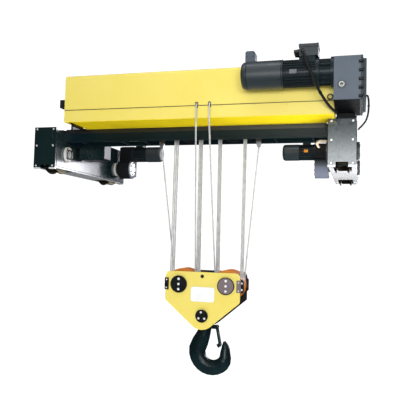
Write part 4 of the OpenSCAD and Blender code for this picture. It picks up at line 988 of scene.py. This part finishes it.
def block_fittings():
    """Hole plugs, clips on the block's edges, the right cover's skin of painted light, the covers' rims, welds
    on the spacers.
    """
    low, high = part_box("block_side_plates")
    sides_y = ((low.y, -1), (high.y, 1))
    plug = [(0.0168, 0), (0.0168, 0.006), (0.013, 0.008), (0.012, 0.003), (0, 0.003)]
    plugs = [lathe(plug, (BLOCK_X, y - out * 0.01, PIN_Z + 0.078), (0, out, 0), 32) for y, out in sides_y]
    piece("hole_plugs", plugs, "black_plastic", "hook_block")
    # the right side's clips take a plum that is painted light; the left ones stay black
    for side, slot in ((-1, "black_paint"), (1, "plum_painted_light")):
        clips, screws = [], []
        x = (low.x if side < 0 else high.x) - side * 0.012
        for y, out in sides_y:
            clips.append(slab(round_rect(0.04, 0.108, 0.003), (x, y, PIN_Z), (-out, 0, 0), Z_AXIS, 0.004))
            for dz in (-0.036, 0.036):
                screws += cap_screw((x, y + out * 0.004, PIN_Z + dz), (0, out, 0), 0.0065)
        piece(f"edge_clips_{side_name(side)}", clips, slot, "hook_block")
        piece(f"edge_clip_screws_{side_name(side)}", screws, "bright_zinc", "hook_block")
    cover_low, cover_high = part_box("pin_covers")
    cover_shift = 0.006
    # a plum skin on the right pin cover: painted light over the black cover below
    skin = [(0.0765, 0), (0.0765, 0.0002), (0.0755, 0.0009), (0.02, 0.0009), (0.0195, 0.0004)]
    skin_mesh = lathe(skin, (pin_x(1) + cover_shift, cover_low.y, PIN_Z), FRONT, 64)
    piece("right_cover_skin", [skin_mesh], "plum_painted_light", "hook_block")
    rim = [(0.0705, 0), (0.0705, 0.0012), (0.0735, 0.0016), (0.0765, 0.0012), (0.0765, 0)]
    rims = []
    for side in (-1, 1):
        for y, out in ((cover_low.y, -1), (cover_high.y, 1)):
            place = (pin_x(side) + side * cover_shift, y, PIN_Z)
            rims.append(lathe(rim, place, (0, out, 0), 64, ring=True))
    piece("cover_rims", rims, "black_paint", "hook_block")
    spacer_r, inset = 0.0245, 0.0225
    ripple = [0.0038 * (1 + 0.15 * cos(k * 2.1)) for k in range(40)]
    beads = []
    for dx, dz in ((0.0, -0.066), (-0.172, -0.208), (0.172, -0.208)):
        for y in (low.y + inset, high.y - inset):
            ring = [(BLOCK_X + dx + spacer_r * cos(a), y, PIN_Z + dz + spacer_r * sin(a))
                    for a in np.linspace(0, 2 * pi, 40)]
            beads.append(tube(ring, ripple, 7, Y_AXIS))
    piece("spacer_welds", beads, "yellow_paint", "hook_block", 60)


def hook_fittings():
    """The latch's torsion spring on its pivot, and the caps on the ends of the pivot."""
    turns, coil_r, rise = 1.1, 0.0105, 0.0017 / 2.2
    springs, caps = [], []
    for side in (-1, 1):
        coil = [(PIVOT_X + coil_r * cos(a), MID_Y + side * (0.0118 + rise * a / (2 * pi)),
                 PIVOT_Z + coil_r * sin(a)) for a in np.linspace(0, 2 * pi * turns, 40)]
        springs.append(tube(coil, 0.0012, 8, Y_AXIS))
        cap = [(0.0115, 0), (0.0115, 0.003), (0.0095, 0.0045), (0, 0.0045)]
        caps.append(lathe(cap, (PIVOT_X, MID_Y + side * 0.0302, PIVOT_Z), (0, side, 0), 24))
    piece("latch_spring", springs, "machined_steel", "hook", 60)
    piece("latch_pivot_caps", caps, "zinc_bolts", "hook")


def cable_clips():
    """Clips of the motor cable and the signal cable."""
    power_r, signal_r, wall = 0.0118, 0.0088, 0.0016
    shapes = []
    for place, axis, radius in (((1.15, -1.306, 0.74), (0.2, 0.02, -1), power_r),
                                ((1.24, -1.2, 0.55), (0.5, 0.85, -0.6), power_r),
                                ((1.61, -0.985, 0.48), (0, 0.1, -1), signal_r)):
        clip = [(radius, -0.006), (radius + wall, -0.006), (radius + wall, 0.006), (radius, 0.006)]
        shapes.append(lathe(clip, place, axis, 28, ring=True))
    piece("cable_clips", shapes, "bolt_black")


def fittings():
    """Every small part that the CAD leaves out."""
    for build in (carriage_welds, frame_welds, cover_gap_shade, pin_keepers, axle_seals, cover_trim,
                  hoist_motor_fittings, gearbox_fittings, travel_fittings, junction_fittings, block_fittings,
                  hook_fittings, cable_clips):
        build()


# ---- stage
# The fitted camera: angles in degrees, lens and sensor in millimetres
CAMERA_YAW, CAMERA_PITCH, CAMERA_ROLL = 15.667, 3.632, 1.505
CAMERA_LENS, CAMERA_SENSOR = 51.47, 36.0
CAMERA_PLACE = (1.54875, -5.72613, -0.60461)
FLOOR_HALF, FLOOR_BELOW = 90.0, 5.4


def area_light(name, place, target, size, power, colour=(1, 1, 1)):
    """A rectangular lamp, in watts, that faces the target and does not show itself."""
    data = bpy.data.lights.new(name, "AREA")
    data.shape, data.size, data.size_y = "RECTANGLE", size[0], size[1]
    data.energy, data.color = power, colour
    lamp = bpy.data.objects.new(name, data)
    bpy.context.scene.collection.objects.link(lamp)
    lamp.location = place
    lamp.rotation_euler = (Vector(target) - Vector(place)).to_track_quat("-Z", "Y").to_euler()
    lamp.visible_camera = False
    return lamp


def make_camera():
    """The camera that was fitted to the photograph's corners."""
    yaw, pitch, roll = (radians(a) for a in (CAMERA_YAW, CAMERA_PITCH, CAMERA_ROLL))
    ahead = v(-sin(yaw) * cos(pitch), cos(yaw) * cos(pitch), sin(pitch))
    level = ahead.cross(v(*Z_AXIS)).normalized()
    above = level.cross(ahead)
    right = cos(roll) * level + sin(roll) * above
    up = cos(roll) * above - sin(roll) * level
    data = bpy.data.cameras.new("camera")
    data.lens, data.sensor_width = CAMERA_LENS, CAMERA_SENSOR
    camera = bpy.data.objects.new("camera", data)
    bpy.context.scene.collection.objects.link(camera)
    turn = Matrix((right, up, -ahead)).transposed().to_4x4()
    turn.translation = v(*CAMERA_PLACE)
    camera.matrix_world = turn
    data.clip_start, data.clip_end = 0.05, 400.0
    bpy.context.scene.camera = camera


def make_world():
    """A white backdrop that lights the object weakly, and more weakly still in reflections."""
    world = bpy.data.worlds.new("studio")
    bpy.context.scene.world = world
    world.use_nodes = True
    tree = world.node_tree
    tree.nodes.clear()
    out = tree.nodes.new("ShaderNodeOutputWorld")
    rays = tree.nodes.new("ShaderNodeLightPath")
    shader = None
    for ray, strength, colour in (("Is Diffuse Ray", 0.31, (1.0, 1.0, 1.0)),
                                  ("Is Glossy Ray", 0.04, (0.85, 0.92, 1.0)),
                                  ("Is Camera Ray", 1.1, (1.0, 1.0, 1.0))):
        sky = tree.nodes.new("ShaderNodeBackground")
        sky.inputs["Color"].default_value = (*colour, 1.0)
        sky.inputs["Strength"].default_value = strength
        if shader is None:
            shader = sky.outputs[0]
            continue
        mixer = tree.nodes.new("ShaderNodeMixShader")
        tree.links.new(rays.outputs[ray], mixer.inputs["Fac"])
        tree.links.new(shader, mixer.inputs[1])
        tree.links.new(sky.outputs[0], mixer.inputs[2])
        shader = mixer.outputs[0]
    tree.links.new(shader, out.inputs["Surface"])


def make_floor():
    """A white floor far below, bright enough to vanish into the backdrop."""
    bm = bmesh.new()
    bmesh.ops.create_grid(bm, x_segments=2, y_segments=2, size=FLOOR_HALF)
    floor = bpy.data.objects.new("floor", to_mesh(bm, "floor"))
    bpy.context.scene.collection.objects.link(floor)
    floor.location = (0, 0, cad_box[0].z - FLOOR_BELOW)
    t = Tree("floor")
    tone = t.mix(t.remap(t.noise(0.8, 3.0), 0.3, 0.7), (0.9, 0.9, 0.9), (0.87, 0.87, 0.87))
    white = t.set(Base_Color=tone, Roughness=0.7, Emission_Color=(1, 1, 1), Emission_Strength=0.95)
    floor.data.materials.append(white)
    floor.visible_diffuse = floor.visible_glossy = False


def make_lights():
    """Four lamps that also give highlights, and three that do not."""
    area_light("key", (0.4, -5.6, 4.4), (0.2, -0.6, 0.2), (6.0, 2.6), 38, (1.0, 0.98, 0.95))
    area_light("front", (1.9, -8.4, 0.35), (1.2, -0.6, 0.1), (4.4, 2.1), 295, (0.93, 0.98, 1.0))
    area_light("back_right", (3.4, 4.6, 0.9), (-1.2, -0.4, 0.1), (4.0, 3.4), 490, (0.93, 0.93, 1.0))
    area_light("overhead", (0.6, -1.8, 3.6), (0.4, -1.1, 0.6), (5.0, 0.9), 60, (0.92, 0.96, 1.0))
    below = area_light("below", (0.2, -1.6, -4.4), (0.0, -0.8, 0.4), (6.0, 3.0), 170)
    under = area_light("under_right", (1.5, -0.3, -1.0), (1.4, 0.0, 0.0), (0.5, 1.6), 38)
    fill = area_light("fill", (1.5, -3.9, 0.6), (1.1, -1.0, 0.6), (1.4, 0.8), 26)
    for lamp in (below, under, fill):
        lamp.visible_glossy = False


make_camera()
dress_all()
ropes()
fittings()
make_world()
make_floor()
make_lights()
bpy.context.scene.view_settings.view_transform = "Standard"
bpy.context.scene.view_settings.look = "None"
